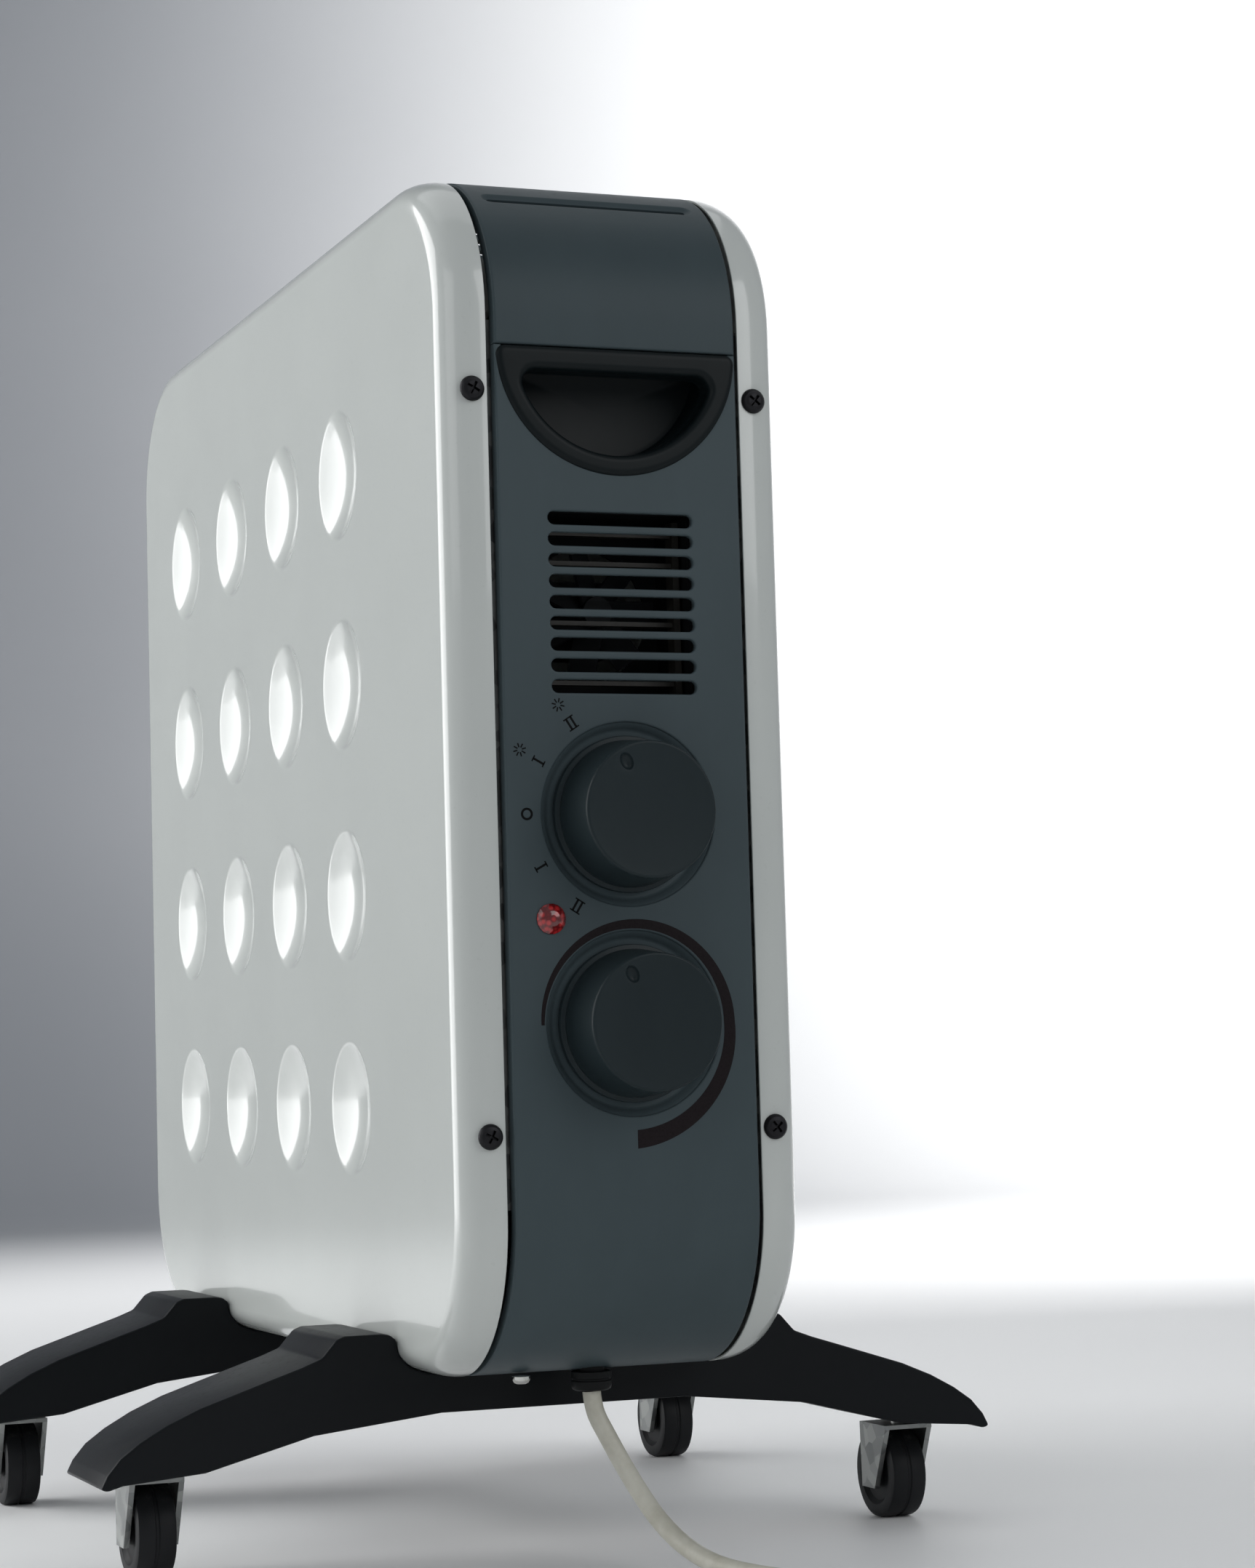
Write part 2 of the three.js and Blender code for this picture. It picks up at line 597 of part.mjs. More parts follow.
function topGrille() {
  const y0 = HOUSING_DEPTH + GAP;
  const y1 = BODY_LENGTH - REAR_COVER_DEPTH - GAP;
  const plate = outline([[-HOUSING_HALF, y0], [HOUSING_HALF, y0], [HOUSING_HALF, y1], [-HOUSING_HALF, y1]]);
  const half = HOUSING_HALF - GRILLE_MARGIN;
  const count = Math.floor((y1 - y0 - 2 * GRILLE_END_MARGIN) / GRILLE_PITCH);
  const start = (y0 + y1 - GRILLE_PITCH * (count - 1)) / 2;
  for (let i = 0; i < count; i += 1) {
    const from = start + GRILLE_PITCH * i - GRILLE_SLOT / 2;
    const to = from + GRILLE_SLOT;
    const slot = [[-half, from], [-half, to], [half, to], [half, from]];
    plate.holes.push(new THREE.Path(slot.map(([a, b]) => new THREE.Vector2(a, b))));
  }
  const top = BODY_TOP - GRILLE_DROP;
  return alongZ(plate, top - HOUSING_WALL, top);
}

function knob(height, restAngle) {
  const back = FACE_Y + RECESS_DEPTH - KNOB_SEAT_GAP;
  const z = BODY_BOTTOM + height;
  const body = turnedY([
    [0, KNOB_FRONT + 0.8], [KNOB_FACE_RADIUS - 6, KNOB_FRONT + 0.4], [KNOB_FACE_RADIUS - 2.5, KNOB_FRONT],
    [KNOB_FACE_RADIUS - 0.6, KNOB_FRONT + 0.6], [KNOB_FACE_RADIUS, KNOB_FRONT + 2],
    [KNOB_WAIST_RADIUS, back - KNOB_BASE_THICKNESS], [KNOB_BASE_RADIUS, back - KNOB_BASE_THICKNESS],
    [KNOB_BASE_RADIUS, back], [0, back]], 28, 0, z);
  const angle = THREE.MathUtils.degToRad(restAngle);
  const dimple = new THREE.SphereGeometry(4, 10, 6).scale(0.75, 0.6, 1.1);
  dimple.rotateY(-angle);
  dimple.translate(-POINTER_RADIUS * Math.sin(angle), KNOB_FRONT, z + POINTER_RADIUS * Math.cos(angle));
  const bore = rodY(SHAFT_RADIUS + GAP, back - SHAFT_IN_KNOB - GAP, back + PAST, 0, z, 12);
  return cutFrom(body, dimple, bore);
}

function knobShaft(height) {
  const back = FACE_Y + RECESS_DEPTH - KNOB_SEAT_GAP;
  return rodY(SHAFT_RADIUS, back - SHAFT_IN_KNOB, SWITCH_FRONT - GAP, 0, BODY_BOTTOM + height, 12);
}

function indicatorLens() {
  const stem = LENS_RADIUS - LENS_SEAT - GAP;
  const rim = FACE_Y - GAP;
  const profile = [[0, FACE_Y - LENS_DOME], [4, FACE_Y - 2.6], [6, FACE_Y - 1.2], [LENS_RADIUS, rim],
    [stem, rim], [stem, LENS_BACK], [0, LENS_BACK]];
  return turnedY(profile, 20, LENS_X, BODY_BOTTOM + LENS_HEIGHT);
}

function rotarySwitch() {
  const z = BODY_BOTTOM + SELECTOR_HEIGHT;
  const back = SWITCH_FRONT + SWITCH_BODY_DEPTH;
  const half = SWITCH_HALF;
  const base = block(-half, half, SWITCH_FRONT, back, z - half, z + half);
  const tabs = [-10, 0, 10].map((x) => block(
    x - 3, x + 3, back - PAST, back + SWITCH_TAB_REACH, z - 0.5, z + 0.5));
  return joined(base, ...tabs);
}

function thermostatBody() {
  const z = BODY_BOTTOM + THERMOSTAT_HEIGHT;
  const back = SWITCH_FRONT + THERMOSTAT_DEPTH;
  const half = THERMOSTAT_HALF_WIDTH;
  const tall = THERMOSTAT_HALF_HEIGHT;
  const base = block(-half, half, SWITCH_FRONT, back, z - tall, z + tall);
  const strip = block(-4, 4, back - PAST, back + 2, z - tall - 8, z + tall + 12);
  return joined(base, strip);
}

function oilElement(number) {
  const y = FIRST_ELEMENT_Y + ELEMENT_PITCH * number;
  const low = BODY_BOTTOM + ELEMENT_END_GAP;
  const high = BODY_TOP - ELEMENT_END_GAP;
  const sheet = roundedRectangle(-ELEMENT_HALF_WIDTH, ELEMENT_HALF_WIDTH, low, high, ELEMENT_CORNER, 2);
  const fin = alongY(outline(sheet), y - ELEMENT_SHEET / 2, y + ELEMENT_SHEET / 2);
  const half = (ELEMENT_PITCH - GAP) / 2;
  const heights = [BODY_BOTTOM + HEADER_INSET, BODY_TOP - HEADER_INSET];
  const headers = heights.map((z) => rodY(HEADER_RADIUS, y - half, y + half, 0, z, 12));
  const bores = heights.map((z) => rodY(HEADER_BORE, y - half - PAST, y + half + PAST, 0, z, 12));
  return cutFrom(joined(fin, ...headers), ...bores);
}

function immersionElement() {
  const z = BODY_BOTTOM + HEADER_INSET;
  const seat = ELEMENT_FRONT - GAP;
  const head = rodY(HEADER_RADIUS - 2, seat - ROD_HEAD_DEPTH, seat, 0, z, 6);
  const end = ELEMENT_FRONT + ELEMENT_PITCH * (ELEMENT_COUNT - 2);
  const sides = [-ROD_SPREAD, ROD_SPREAD];
  const rods = sides.map((x) => rodY(ROD_RADIUS, ELEMENT_FRONT - 2, end, x, z, 8));
  const outer = ROD_SPREAD + ROD_RADIUS;
  const bend = block(-outer, outer, end - 2 * ROD_RADIUS, end, z - 3, z + 3);
  const terminals = sides.map((x) => rodY(
    TERMINAL_RADIUS, ELEMENT_FRONT - TERMINAL_REACH, ELEMENT_FRONT - ROD_HEAD_DEPTH + PAST, x, z, 8));
  return joined(head, ...rods, bend, ...terminals);
}

function fanDuct() {
  const y0 = SWITCH_FRONT;
  const [w, h] = [DUCT_HALF_WIDTH, DUCT_HALF_HEIGHT];
  const tube = block(-w, w, y0, y0 + DUCT_DEPTH, VENT_CENTRE - h, VENT_CENTRE + h);
  const inside = block(-w + DUCT_WALL, w - DUCT_WALL, y0 - PAST, y0 + DUCT_DEPTH - DUCT_WALL,
    VENT_CENTRE - h + DUCT_WALL, VENT_CENTRE + h - DUCT_WALL);
  const back = y0 + DUCT_DEPTH;
  const inlet = rodY(FAN_RADIUS + 3, back - DUCT_WALL - PAST, back + PAST, 0, VENT_CENTRE, 20);
  return cutFrom(tube, inside, inlet);
}

// A mica frame with a zigzag heating strip across the duct.
function fanHeatingCoil() {
  const y0 = SWITCH_FRONT + HEATING_SETBACK;
  const half = DUCT_HALF_WIDTH - DUCT_WALL - 2;
  const tall = DUCT_HALF_HEIGHT - DUCT_WALL - 2;
  const [low, high] = [VENT_CENTRE - tall, VENT_CENTRE + tall];
  const pieces = [-half, half - 3].map((x) => block(x, x + 3, y0, y0 + 8, low, high));
  for (let i = 0; i < HEATING_STRIPS; i += 1) {
    const z = low + 6 + (2 * tall - 12) * i / (HEATING_STRIPS - 1);
    pieces.push(block(-half + 1, half - 1, y0 + 2, y0 + 6, z - 1, z + 1));
  }
  return joined(...pieces);
}

function fanImpeller() {
  const hub = rodY(FAN_HUB_RADIUS, FAN_Y, FAN_Y + FAN_DEPTH, 0, VENT_CENTRE, 14);
  const blades = [];
  for (let i = 0; i < FAN_BLADES; i += 1) {
    const root = FAN_HUB_RADIUS - 2;
    const blade = new THREE.BoxGeometry(FAN_RADIUS - root, FAN_BLADE_SHEET, FAN_DEPTH - 1);
    blade.rotateX(THREE.MathUtils.degToRad(FAN_BLADE_PITCH)).translate((FAN_RADIUS + root) / 2, 0, 0);
    blade.rotateY(2 * Math.PI * i / FAN_BLADES).translate(0, FAN_Y + FAN_DEPTH / 2, VENT_CENTRE);
    blades.push(blade);
  }
  const bore = rodY(FAN_SHAFT_RADIUS + GAP, FAN_Y + 3, FAN_Y + FAN_DEPTH + WELL_PAST, 0, VENT_CENTRE, 10);
  return cutFrom(joined(hub, ...blades), bore);
}

function fanMotor() {
  const y0 = SWITCH_FRONT + DUCT_DEPTH + GAP;
  const half = MOTOR_SIZE / 2;
  const front = y0 + MOTOR_SETBACK;
  const core = block(-half, half, front, front + MOTOR_DEPTH, VENT_CENTRE - half, VENT_CENTRE + half);
  const shaft = rodY(FAN_SHAFT_RADIUS, FAN_Y + 3 + GAP, front + 2, 0, VENT_CENTRE, 10);
  const bridge = block(-FAN_RADIUS - 8, FAN_RADIUS + 8, y0, front + 0.5,
    VENT_CENTRE - MOTOR_BRIDGE_HALF, VENT_CENTRE + MOTOR_BRIDGE_HALF);
  return joined(core, bridge, shaft);
}

// ---- feet ----
// An arm's top and underside, as distance out from the saddle's side and height above the
// body's underside.
const ARM_TOP = [[9, 9], [18, 5.6], [33, 0.8], [49, -4.4], [65, -9.6], [80, -16], [92, -22.6],
  [101, -29], [107, -36]];
const ARM_UNDERSIDE = [[100, -41], [63, -38], [13, -25], [-47, -FOOT_DROP]];

function saddleSide() {
  const clear = SADDLE_GAP;
  const rolled = [20, 45, 70, 88].map((degrees) => rollPoint(degrees, -clear));
  return [[HALF_WIDTH + clear, SADDLE_TOP - 3], [HALF_WIDTH + clear, ROLL_DEPTH], ...rolled];
}

// Half of a foot's outline in X and Z, from the body's roll over the saddle and the arm's top to
// the tip, and back along the underside.
function footHalf() {
  const fromSaddle = ([out, height]) => [SADDLE_OUTER + out, height];
  const top = [
    ...saddleSide().reverse(),
    [HALF_WIDTH + 4, SADDLE_TOP - 0.5], [HALF_WIDTH + 8, SADDLE_TOP],
    [SADDLE_OUTER - 2, SADDLE_TOP], [SADDLE_OUTER + 2, SADDLE_TOP - 1.6],
    [SADDLE_OUTER + 5, SADDLE_TOP - 5],
    ...ARM_TOP.map(fromSaddle),
    [FOOT_HALF_SPAN, -TIP_DROP + 1], [FOOT_HALF_SPAN - 3, -TIP_DROP],
  ];
  return [...top, ...ARM_UNDERSIDE.map(fromSaddle)];
}

function foot(y0) {
  const half = footHalf().map(([x, z]) => [x, BODY_BOTTOM + z]);
  const other = half.map(([x, z]) => [-x, z]).reverse();
  const beam = alongY(outline([...half, ...other]), y0, y0 + FOOT_DEPTH);
  const padFront = Math.max(y0 + PAD_INSET, HOUSING_DEPTH + 2);
  const padBack = Math.min(y0 + FOOT_DEPTH - PAD_INSET, BODY_LENGTH - REAR_COVER_DEPTH - 2);
  const padHalf = HOUSING_HALF - PAD_SIDE_GAP;
  const padTop = BODY_BOTTOM + ELEMENT_END_GAP - GAP;
  const pad = block(-padHalf, padHalf, padFront, padBack, BODY_BOTTOM - 3, padTop);
  const socketTop = FORK_TOP + FORK_WALL + STEM_LENGTH + PAST;
  const sockets = [-CASTER_X, CASTER_X].map((x) => rodZ(
    STEM_RADIUS + GAP, FORK_TOP - 2, socketTop, x, y0 + FOOT_DEPTH / 2, 14));
  return cutFrom(joined(beam, pad), ...sockets);
}

function casterWheel(x, y) {
  const half = WHEEL_WIDTH / 2;
  const bore = AXLE_RADIUS + GAP;
  const shoulder = half - WHEEL_CHAMFER;
  const side = WHEEL_RADIUS - WHEEL_CHAMFER;
  const profile = [[bore, -half], [side, -half], [WHEEL_RADIUS, -shoulder], [WHEEL_RADIUS, shoulder],
    [side, half], [bore, half], [bore, -half]];
  return turnedX(profile, WHEEL_FACETS, 0, 0, Math.PI / WHEEL_FACETS).translate(x, y, WHEEL_CENTRE);
}

function casterFork(x, y) {
  const inside = WHEEL_WIDTH / 2 + WHEEL_SIDE_GAP;
  const outside = inside + FORK_WALL;
  const axleY = y + CASTER_TRAIL;
  const [front, back] = [y - CROWN_FRONT, axleY + CROWN_BACK];
  const low = WHEEL_CENTRE - CHEEK_BELOW_AXLE;
  const cheek = outline([[front, FORK_TOP], [back, FORK_TOP], [axleY + CHEEK_BELOW_AXLE, low],
    [axleY - CHEEK_BELOW_AXLE, low]]);
  const cheeks = [-1, 1].map((side) => alongX(
    cheek, x + (side < 0 ? -outside : inside), x + (side < 0 ? -inside : outside)));
  const crown = block(x - outside, x + outside, front, back, FORK_TOP - 0.5, FORK_TOP + FORK_WALL - 1);
  const axle = turnedX([[0, -outside], [AXLE_RADIUS, -outside], [AXLE_RADIUS, outside], [0, outside]],
    12, 0, 0).translate(x, axleY, WHEEL_CENTRE);
  const stem = rodZ(STEM_RADIUS, FORK_TOP, FORK_TOP + FORK_WALL + STEM_LENGTH, x, y, 12);
  return joined(...cheeks, crown, axle, stem);
}

function flangeScrew(x, z) {
  const seat = -GAP / 2;
  const crown = seat - SCREW_HEAD_HEIGHT;
  const head = [[0, crown], [SCREW_HEAD_RADIUS * 0.6, seat - SCREW_HEAD_HEIGHT * 0.85],
    [SCREW_HEAD_RADIUS, seat - 0.6], [SCREW_HEAD_RADIUS, seat], [SCREW_SHANK_RADIUS, seat],
    [SCREW_SHANK_RADIUS, SCREW_LENGTH], [0, SCREW_LENGTH]];
  const body = turnedY(head, 12, x, z);
  const cross = [[SCREW_SLOT_REACH, SCREW_SLOT_HALF], [SCREW_SLOT_HALF, SCREW_SLOT_REACH]];
  const bars = cross.map(([a, b]) => block(
    x - a, x + a, crown - PAST, crown + SCREW_SLOT_DEPTH, z - b, z + b));
  return cutFrom(body, ...bars);
}

// ---- cord, coil and plug ----
// The free stretch of the cord, from the grommet to the side of the coil.
const CORD_ROUTE = [
  [0, 63, 78.5], [0.1, 63, 74.5], [1.8, 62.2, 68], [5.5, 59, 58.5], [10, 53.5, 47], [14.5, 45, 35],
  [19.5, 34, 23], [25.5, 19, 13], [32, 0, 7], [42, -24, 4.6], [56, -54, 4.35], [76, -90, 4.35],
  [99, -130, 4.35], [117, -168, 4.35], [127.8, -205, 4.35], [130.3, -240, 4.35],
];

function cordAlong(points, steps) {
  const places = points.map((point) => new THREE.Vector3(...point));
  const path = new THREE.CatmullRomCurve3(places, false, 'centripetal');
  const flat = 180 / CORD_SIDES;
  const ring = arc(0, 0, CORD_DIAMETER / 2, flat, 360 + flat, CORD_SIDES).slice(0, CORD_SIDES);
  return new THREE.ExtrudeGeometry(outline(ring), { steps, extrudePath: path, bevelEnabled: false });
}

function cordCoil() {
  const [inner, outer] = [COIL_MID_RADIUS - COIL_HALF, COIL_MID_RADIUS + COIL_HALF];
  const top = COIL_LIFT + COIL_TURNS_HIGH * CORD_DIAMETER;
  const profile = [[inner, COIL_LIFT], [outer, COIL_LIFT], [outer, top], [inner, top], [inner, COIL_LIFT]];
  return turnedZ(profile, 28, ...COIL_CENTRE);
}

function coilTie() {
  const [x, y] = [COIL_CENTRE[0], COIL_CENTRE[1] + COIL_MID_RADIUS];
  const half = COIL_HALF + GAP + TIE_SLACK;
  const low = COIL_LIFT - GAP;
  const high = COIL_LIFT + COIL_TURNS_HIGH * CORD_DIAMETER + GAP;
  const outside = block(x - TIE_WIDTH / 2, x + TIE_WIDTH / 2, y - half - TIE_SHEET, y + half + TIE_SHEET,
    low - TIE_SHEET, high + TIE_SHEET);
  return cutFrom(outside, block(x - TIE_WIDTH, x + TIE_WIDTH, y - half, y + half, low, high));
}

function tailTube() {
  const [x, y] = COIL_CENTRE;
  const side = y - COIL_MID_RADIUS - COIL_HALF - GAP - CORD_DIAMETER / 2;
  const height = CORD_DIAMETER / 2 + TAIL_LIFT;
  return cordAlong([
    [x, side, height], [x - 14, side - 0.6, height + 2], [x - 30, side - 1.6, PLUG_RADIUS - 3],
    [x - 44, side - 2, PLUG_RADIUS], [x - TAIL_REACH, side - 2, PLUG_RADIUS],
  ], 8);
}

function plug() {
  const x = COIL_CENTRE[0] - TAIL_REACH - GAP - 0.3;
  const y = COIL_CENTRE[1] - COIL_MID_RADIUS - COIL_HALF - GAP - CORD_DIAMETER / 2 - 2;
  const back = [[0, -PLUG_LENGTH], [PLUG_RADIUS, -PLUG_LENGTH], [PLUG_RADIUS, -PLUG_LENGTH + PLUG_STRAIGHT],
    [PLUG_RADIUS * 0.72, -PLUG_LENGTH + 1.5 * PLUG_STRAIGHT], [CORD_DIAMETER * 0.8, -PLUG_NECK],
    [CORD_DIAMETER * 0.62, 0], [0, 0]];
  const body = turnedX(back, 20, 0, 0, Math.PI / 20).translate(x, y, PLUG_RADIUS);
  const tip = -PLUG_LENGTH - PLUG_PIN_LENGTH;
  const root = -PLUG_LENGTH + PAST;
  const pin = [[0, tip], [PLUG_PIN_RADIUS, tip], [PLUG_PIN_RADIUS, root], [0, root]];
  const pins = [-1, 1].map((side) => turnedX(pin, 10, 0, 0)
    .translate(x, y + side * PLUG_PIN_SPACING / 2, PLUG_RADIUS));
  return joined(body, ...pins);
}

function grommet() {
  const low = BODY_BOTTOM - GROMMET_DROP;
  return turnedZ([
    [0, low], [GROMMET_RADIUS - GROMMET_CHAMFER, low], [GROMMET_RADIUS, low + GROMMET_CHAMFER],
    [GROMMET_RADIUS, BODY_BOTTOM - GAP],
    [GROMMET_SHANK, BODY_BOTTOM - GAP], [GROMMET_SHANK, BODY_BOTTOM + 6], [5.4, BODY_BOTTOM + 18],
    [0, BODY_BOTTOM + 18]], 20, ...CORD_EXIT);
}

function undersideScrew() {
  const low = BODY_BOTTOM - GAP;
  const head = [[0, low - 3.4], [2.6, low - 3], [4.2, low - 1], [4.2, low], [0, low]];
  return turnedZ(head, 16, ...UNDERSIDE_SCREW);
}

// ---- assembly ----
const rightPanel = rightSidePanel();
add('right_side_panel', rightPanel, 'enamel');
add('left_side_panel', mirroredX(rightPanel), 'enamel');
add('control_housing', controlHousing(), 'charcoal');
add('top_cover', topCover(), 'charcoal');
add('handle_insert', handleInsert(), 'black');
add('rear_cover', rearCover(), 'charcoal');
add('top_grille', topGrille(), 'charcoal');
const lowWindow = BODY_BOTTOM + CORNER_RADIUS + FRAME_END_GAP + 10.3;
const fanWindow = [VENT_CENTRE - DUCT_HALF_HEIGHT - 9, BODY_TOP - CORNER_RADIUS - FRAME_WINDOW_GAP];
add('front_frame', endFrame(FRAME_SETBACK, [[lowWindow, lowWindow + 18], fanWindow]), 'steel');
add('rear_frame', endFrame(BODY_LENGTH - FRAME_SETBACK - FRAME_SHEET, [
  [lowWindow, fanWindow[0] - FRAME_WINDOW_GAP], fanWindow]), 'steel');

add('selector_knob', knob(SELECTOR_HEIGHT, POINTER_ANGLE), 'black');
add('selector_shaft', knobShaft(SELECTOR_HEIGHT), 'steel');
add('rotary_switch', rotarySwitch(), 'bakelite');
add('thermostat_knob', knob(THERMOSTAT_HEIGHT, POINTER_ANGLE), 'black');
add('thermostat_shaft', knobShaft(THERMOSTAT_HEIGHT), 'steel');
add('thermostat_body', thermostatBody(), 'bakelite');

add('indicator_lens', indicatorLens(), 'lens');
const lampZ = BODY_BOTTOM + LENS_HEIGHT;
add('neon_lamp', rodY(LAMP_RADIUS, LENS_BACK + GAP, LAMP_BACK, LENS_X, lampZ, 10), 'glass');

add('fan_duct', fanDuct(), 'steel');
add('fan_heating_coil', fanHeatingCoil(), 'mica');
add('fan_impeller', fanImpeller(), 'black');
add('fan_motor', fanMotor(), 'steel');
add('terminal_block', block(18, 50, 84, 98, BODY_BOTTOM + 30, BODY_BOTTOM + 48), 'bakelite');
const cutoutBack = FIRST_ELEMENT_Y - ELEMENT_SHEET / 2 - GAP;
add('thermal_cutout', rodY(CUTOUT_RADIUS, ELEMENT_FRONT + 12, cutoutBack, CUTOUT_X,
  BODY_BOTTOM + CUTOUT_HEIGHT, 16), 'bakelite');

for (let number = 0; number < ELEMENT_COUNT; number += 1) {
  add(`oil_element_${number + 1}`, oilElement(number), 'oilSteel');
}
add('immersion_element', immersionElement(), 'steel');
add('filler_plug', rodY(HEADER_BORE + 3, ELEMENT_BACK + GAP, ELEMENT_BACK + FILLER_LENGTH, 0,
  BODY_TOP - HEADER_INSET, 6), 'steel');

for (const [end, y0] of [['front', FRONT_FOOT_Y], ['rear', REAR_FOOT_Y]]) {
  add(`${end}_foot`, foot(y0), 'foot');
  for (const [side, x] of [['left', -CASTER_X], ['right', CASTER_X]]) {
    const y = y0 + FOOT_DEPTH / 2;
    add(`${end}_${side}_caster_fork`, casterFork(x, y), 'black');
    add(`${end}_${side}_caster_wheel`, casterWheel(x, y + CASTER_TRAIL), 'black');
  }
}

screwPlaces().forEach(([x, z], i) => {
  add(`front_flange_screw_${i + 1}`, flangeScrew(x, z), 'black');
  const rear = flangeScrew(-x, z).rotateZ(Math.PI).translate(0, BODY_LENGTH, 0);
  add(`rear_flange_screw_${i + 1}`, rear, 'black');
});

add('underside_screw', undersideScrew(), 'chrome');
add('cord_grommet', grommet(), 'black');
add('power_cord', cordAlong(CORD_ROUTE, 28), 'cord');
add('cord_coil', cordCoil(), 'cord');
add('coil_tie', coilTie(), 'black');
add('cord_tail', tailTube(), 'cord');
add('plug', plug(), 'cord');

export default heater;
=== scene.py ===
import json
import math

import bmesh
import bpy
import numpy as np
from mathutils import Matrix, Vector
from mathutils.geometry import delaunay_2d_cdt

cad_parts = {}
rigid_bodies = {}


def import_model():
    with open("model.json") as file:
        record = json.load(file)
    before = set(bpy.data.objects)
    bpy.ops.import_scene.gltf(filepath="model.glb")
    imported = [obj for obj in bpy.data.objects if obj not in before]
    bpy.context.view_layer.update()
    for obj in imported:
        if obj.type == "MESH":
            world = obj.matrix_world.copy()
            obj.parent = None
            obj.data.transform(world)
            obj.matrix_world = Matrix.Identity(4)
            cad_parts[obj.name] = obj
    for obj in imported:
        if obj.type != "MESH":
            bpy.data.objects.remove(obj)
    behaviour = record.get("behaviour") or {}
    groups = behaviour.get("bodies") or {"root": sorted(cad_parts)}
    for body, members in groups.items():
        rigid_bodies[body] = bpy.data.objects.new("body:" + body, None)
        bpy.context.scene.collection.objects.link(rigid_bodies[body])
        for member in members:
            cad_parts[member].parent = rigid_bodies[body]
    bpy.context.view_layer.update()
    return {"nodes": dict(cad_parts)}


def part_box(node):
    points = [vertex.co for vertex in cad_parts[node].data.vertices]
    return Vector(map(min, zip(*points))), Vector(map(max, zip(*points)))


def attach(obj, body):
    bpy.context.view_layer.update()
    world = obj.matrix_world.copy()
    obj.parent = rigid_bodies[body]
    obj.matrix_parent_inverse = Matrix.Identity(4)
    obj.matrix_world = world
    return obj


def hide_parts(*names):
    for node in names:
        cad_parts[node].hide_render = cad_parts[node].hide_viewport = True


# An oil filled radiator on casters. Sizes are in millimetres, with Y from the plane of the
# front flanges and Z from the floor, until at() turns them into the frame's metres.

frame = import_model()

panel_low, panel_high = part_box("right_side_panel")
FRONT = panel_low.y
HALF_WIDTH = panel_high.x * 1000
BODY_LENGTH = (panel_high.y - panel_low.y) * 1000
BOTTOM = panel_low.z * 1000
TOP = panel_high.z * 1000


def at(x, y, z):
    return Vector((x / 1000, FRONT + y / 1000, z / 1000))


def middle(node):
    low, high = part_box(node)
    centre = (low + high) / 2
    return Vector((centre.x, centre.y - FRONT, centre.z)) * 1000


# ---- camera ----
def stand_camera(place, azimuth, pitch, roll, lens):
    turn, tilt, lean = (math.radians(angle) for angle in (azimuth, pitch, roll))
    ahead = Vector((math.sin(turn) * math.cos(tilt), math.cos(turn) * math.cos(tilt), math.sin(tilt)))
    level = ahead.cross(Vector((0, 0, 1))).normalized()
    upright = level.cross(ahead)
    right = math.cos(lean) * level + math.sin(lean) * upright
    up = -math.sin(lean) * level + math.cos(lean) * upright
    matrix = Matrix((right, up, -ahead)).transposed().to_4x4()
    matrix.translation = place
    data = bpy.data.cameras.new("camera")
    data.lens = lens
    data.sensor_width = 36
    data.clip_start = 0.01
    data.clip_end = 60
    camera = bpy.data.objects.new("camera", data)
    bpy.context.scene.collection.objects.link(camera)
    camera.matrix_world = matrix
    bpy.context.scene.camera = camera


CAMERA_PLACE = Vector((-0.5492, -1.6723, 0.2307))
CAMERA_AZIMUTH = 21.40
CAMERA_PITCH = 4.45
CAMERA_ROLL = -1.61
CAMERA_LENS = 78.86
stand_camera(CAMERA_PLACE, CAMERA_AZIMUTH, CAMERA_PITCH, CAMERA_ROLL, CAMERA_LENS)


# ---- cord: from the grommet down to the floor, into a wound coil, and on to the plug ----
CORD_THICK = 8.5
CORD_ROUTE = [
    (0, 63, 78.5), (0.35, 62.85, 74.5), (1.7, 62.2, 68), (5.5, 59, 58.5), (10, 53.5, 47), (14.5, 45, 35),
    (19.5, 34, 23), (25.5, 19, 13), (32, 0, 7), (42, -24, 4.6), (56, -54, 4.35), (76, -90, 4.35),
    (99, -130, 4.35), (117, -168, 4.35), (127.8, -205, 4.35),
]
COIL_MIDDLE = (70, -240)
OUTER_TURN = 51.25
INNER_TURN = 42.75
LOW_LAYER = 5.65
HIGH_LAYER = 14.15
# stages of the winding, as degrees round the coil, radius and height
COIL_STAGES = [
    (0, 60.3, 4.35),
    (-50, OUTER_TURN, LOW_LAYER),
    (-300, OUTER_TURN, LOW_LAYER),
    (-350, INNER_TURN, LOW_LAYER),
    (-605, INNER_TURN, LOW_LAYER),
    (-655, INNER_TURN, HIGH_LAYER),
    (-910, INNER_TURN, HIGH_LAYER),
    (-960, OUTER_TURN, HIGH_LAYER),
    (-1120, OUTER_TURN, HIGH_LAYER),
    (-1170, 60.05, 4.75),
]
CORD_TAIL = [(56, -300.65, 6.55), (40, -301.65, 13), (26, -302.05, 16), (16.4, -302.05, 16)]


def ease(share):
    return share * share * (3 - 2 * share)


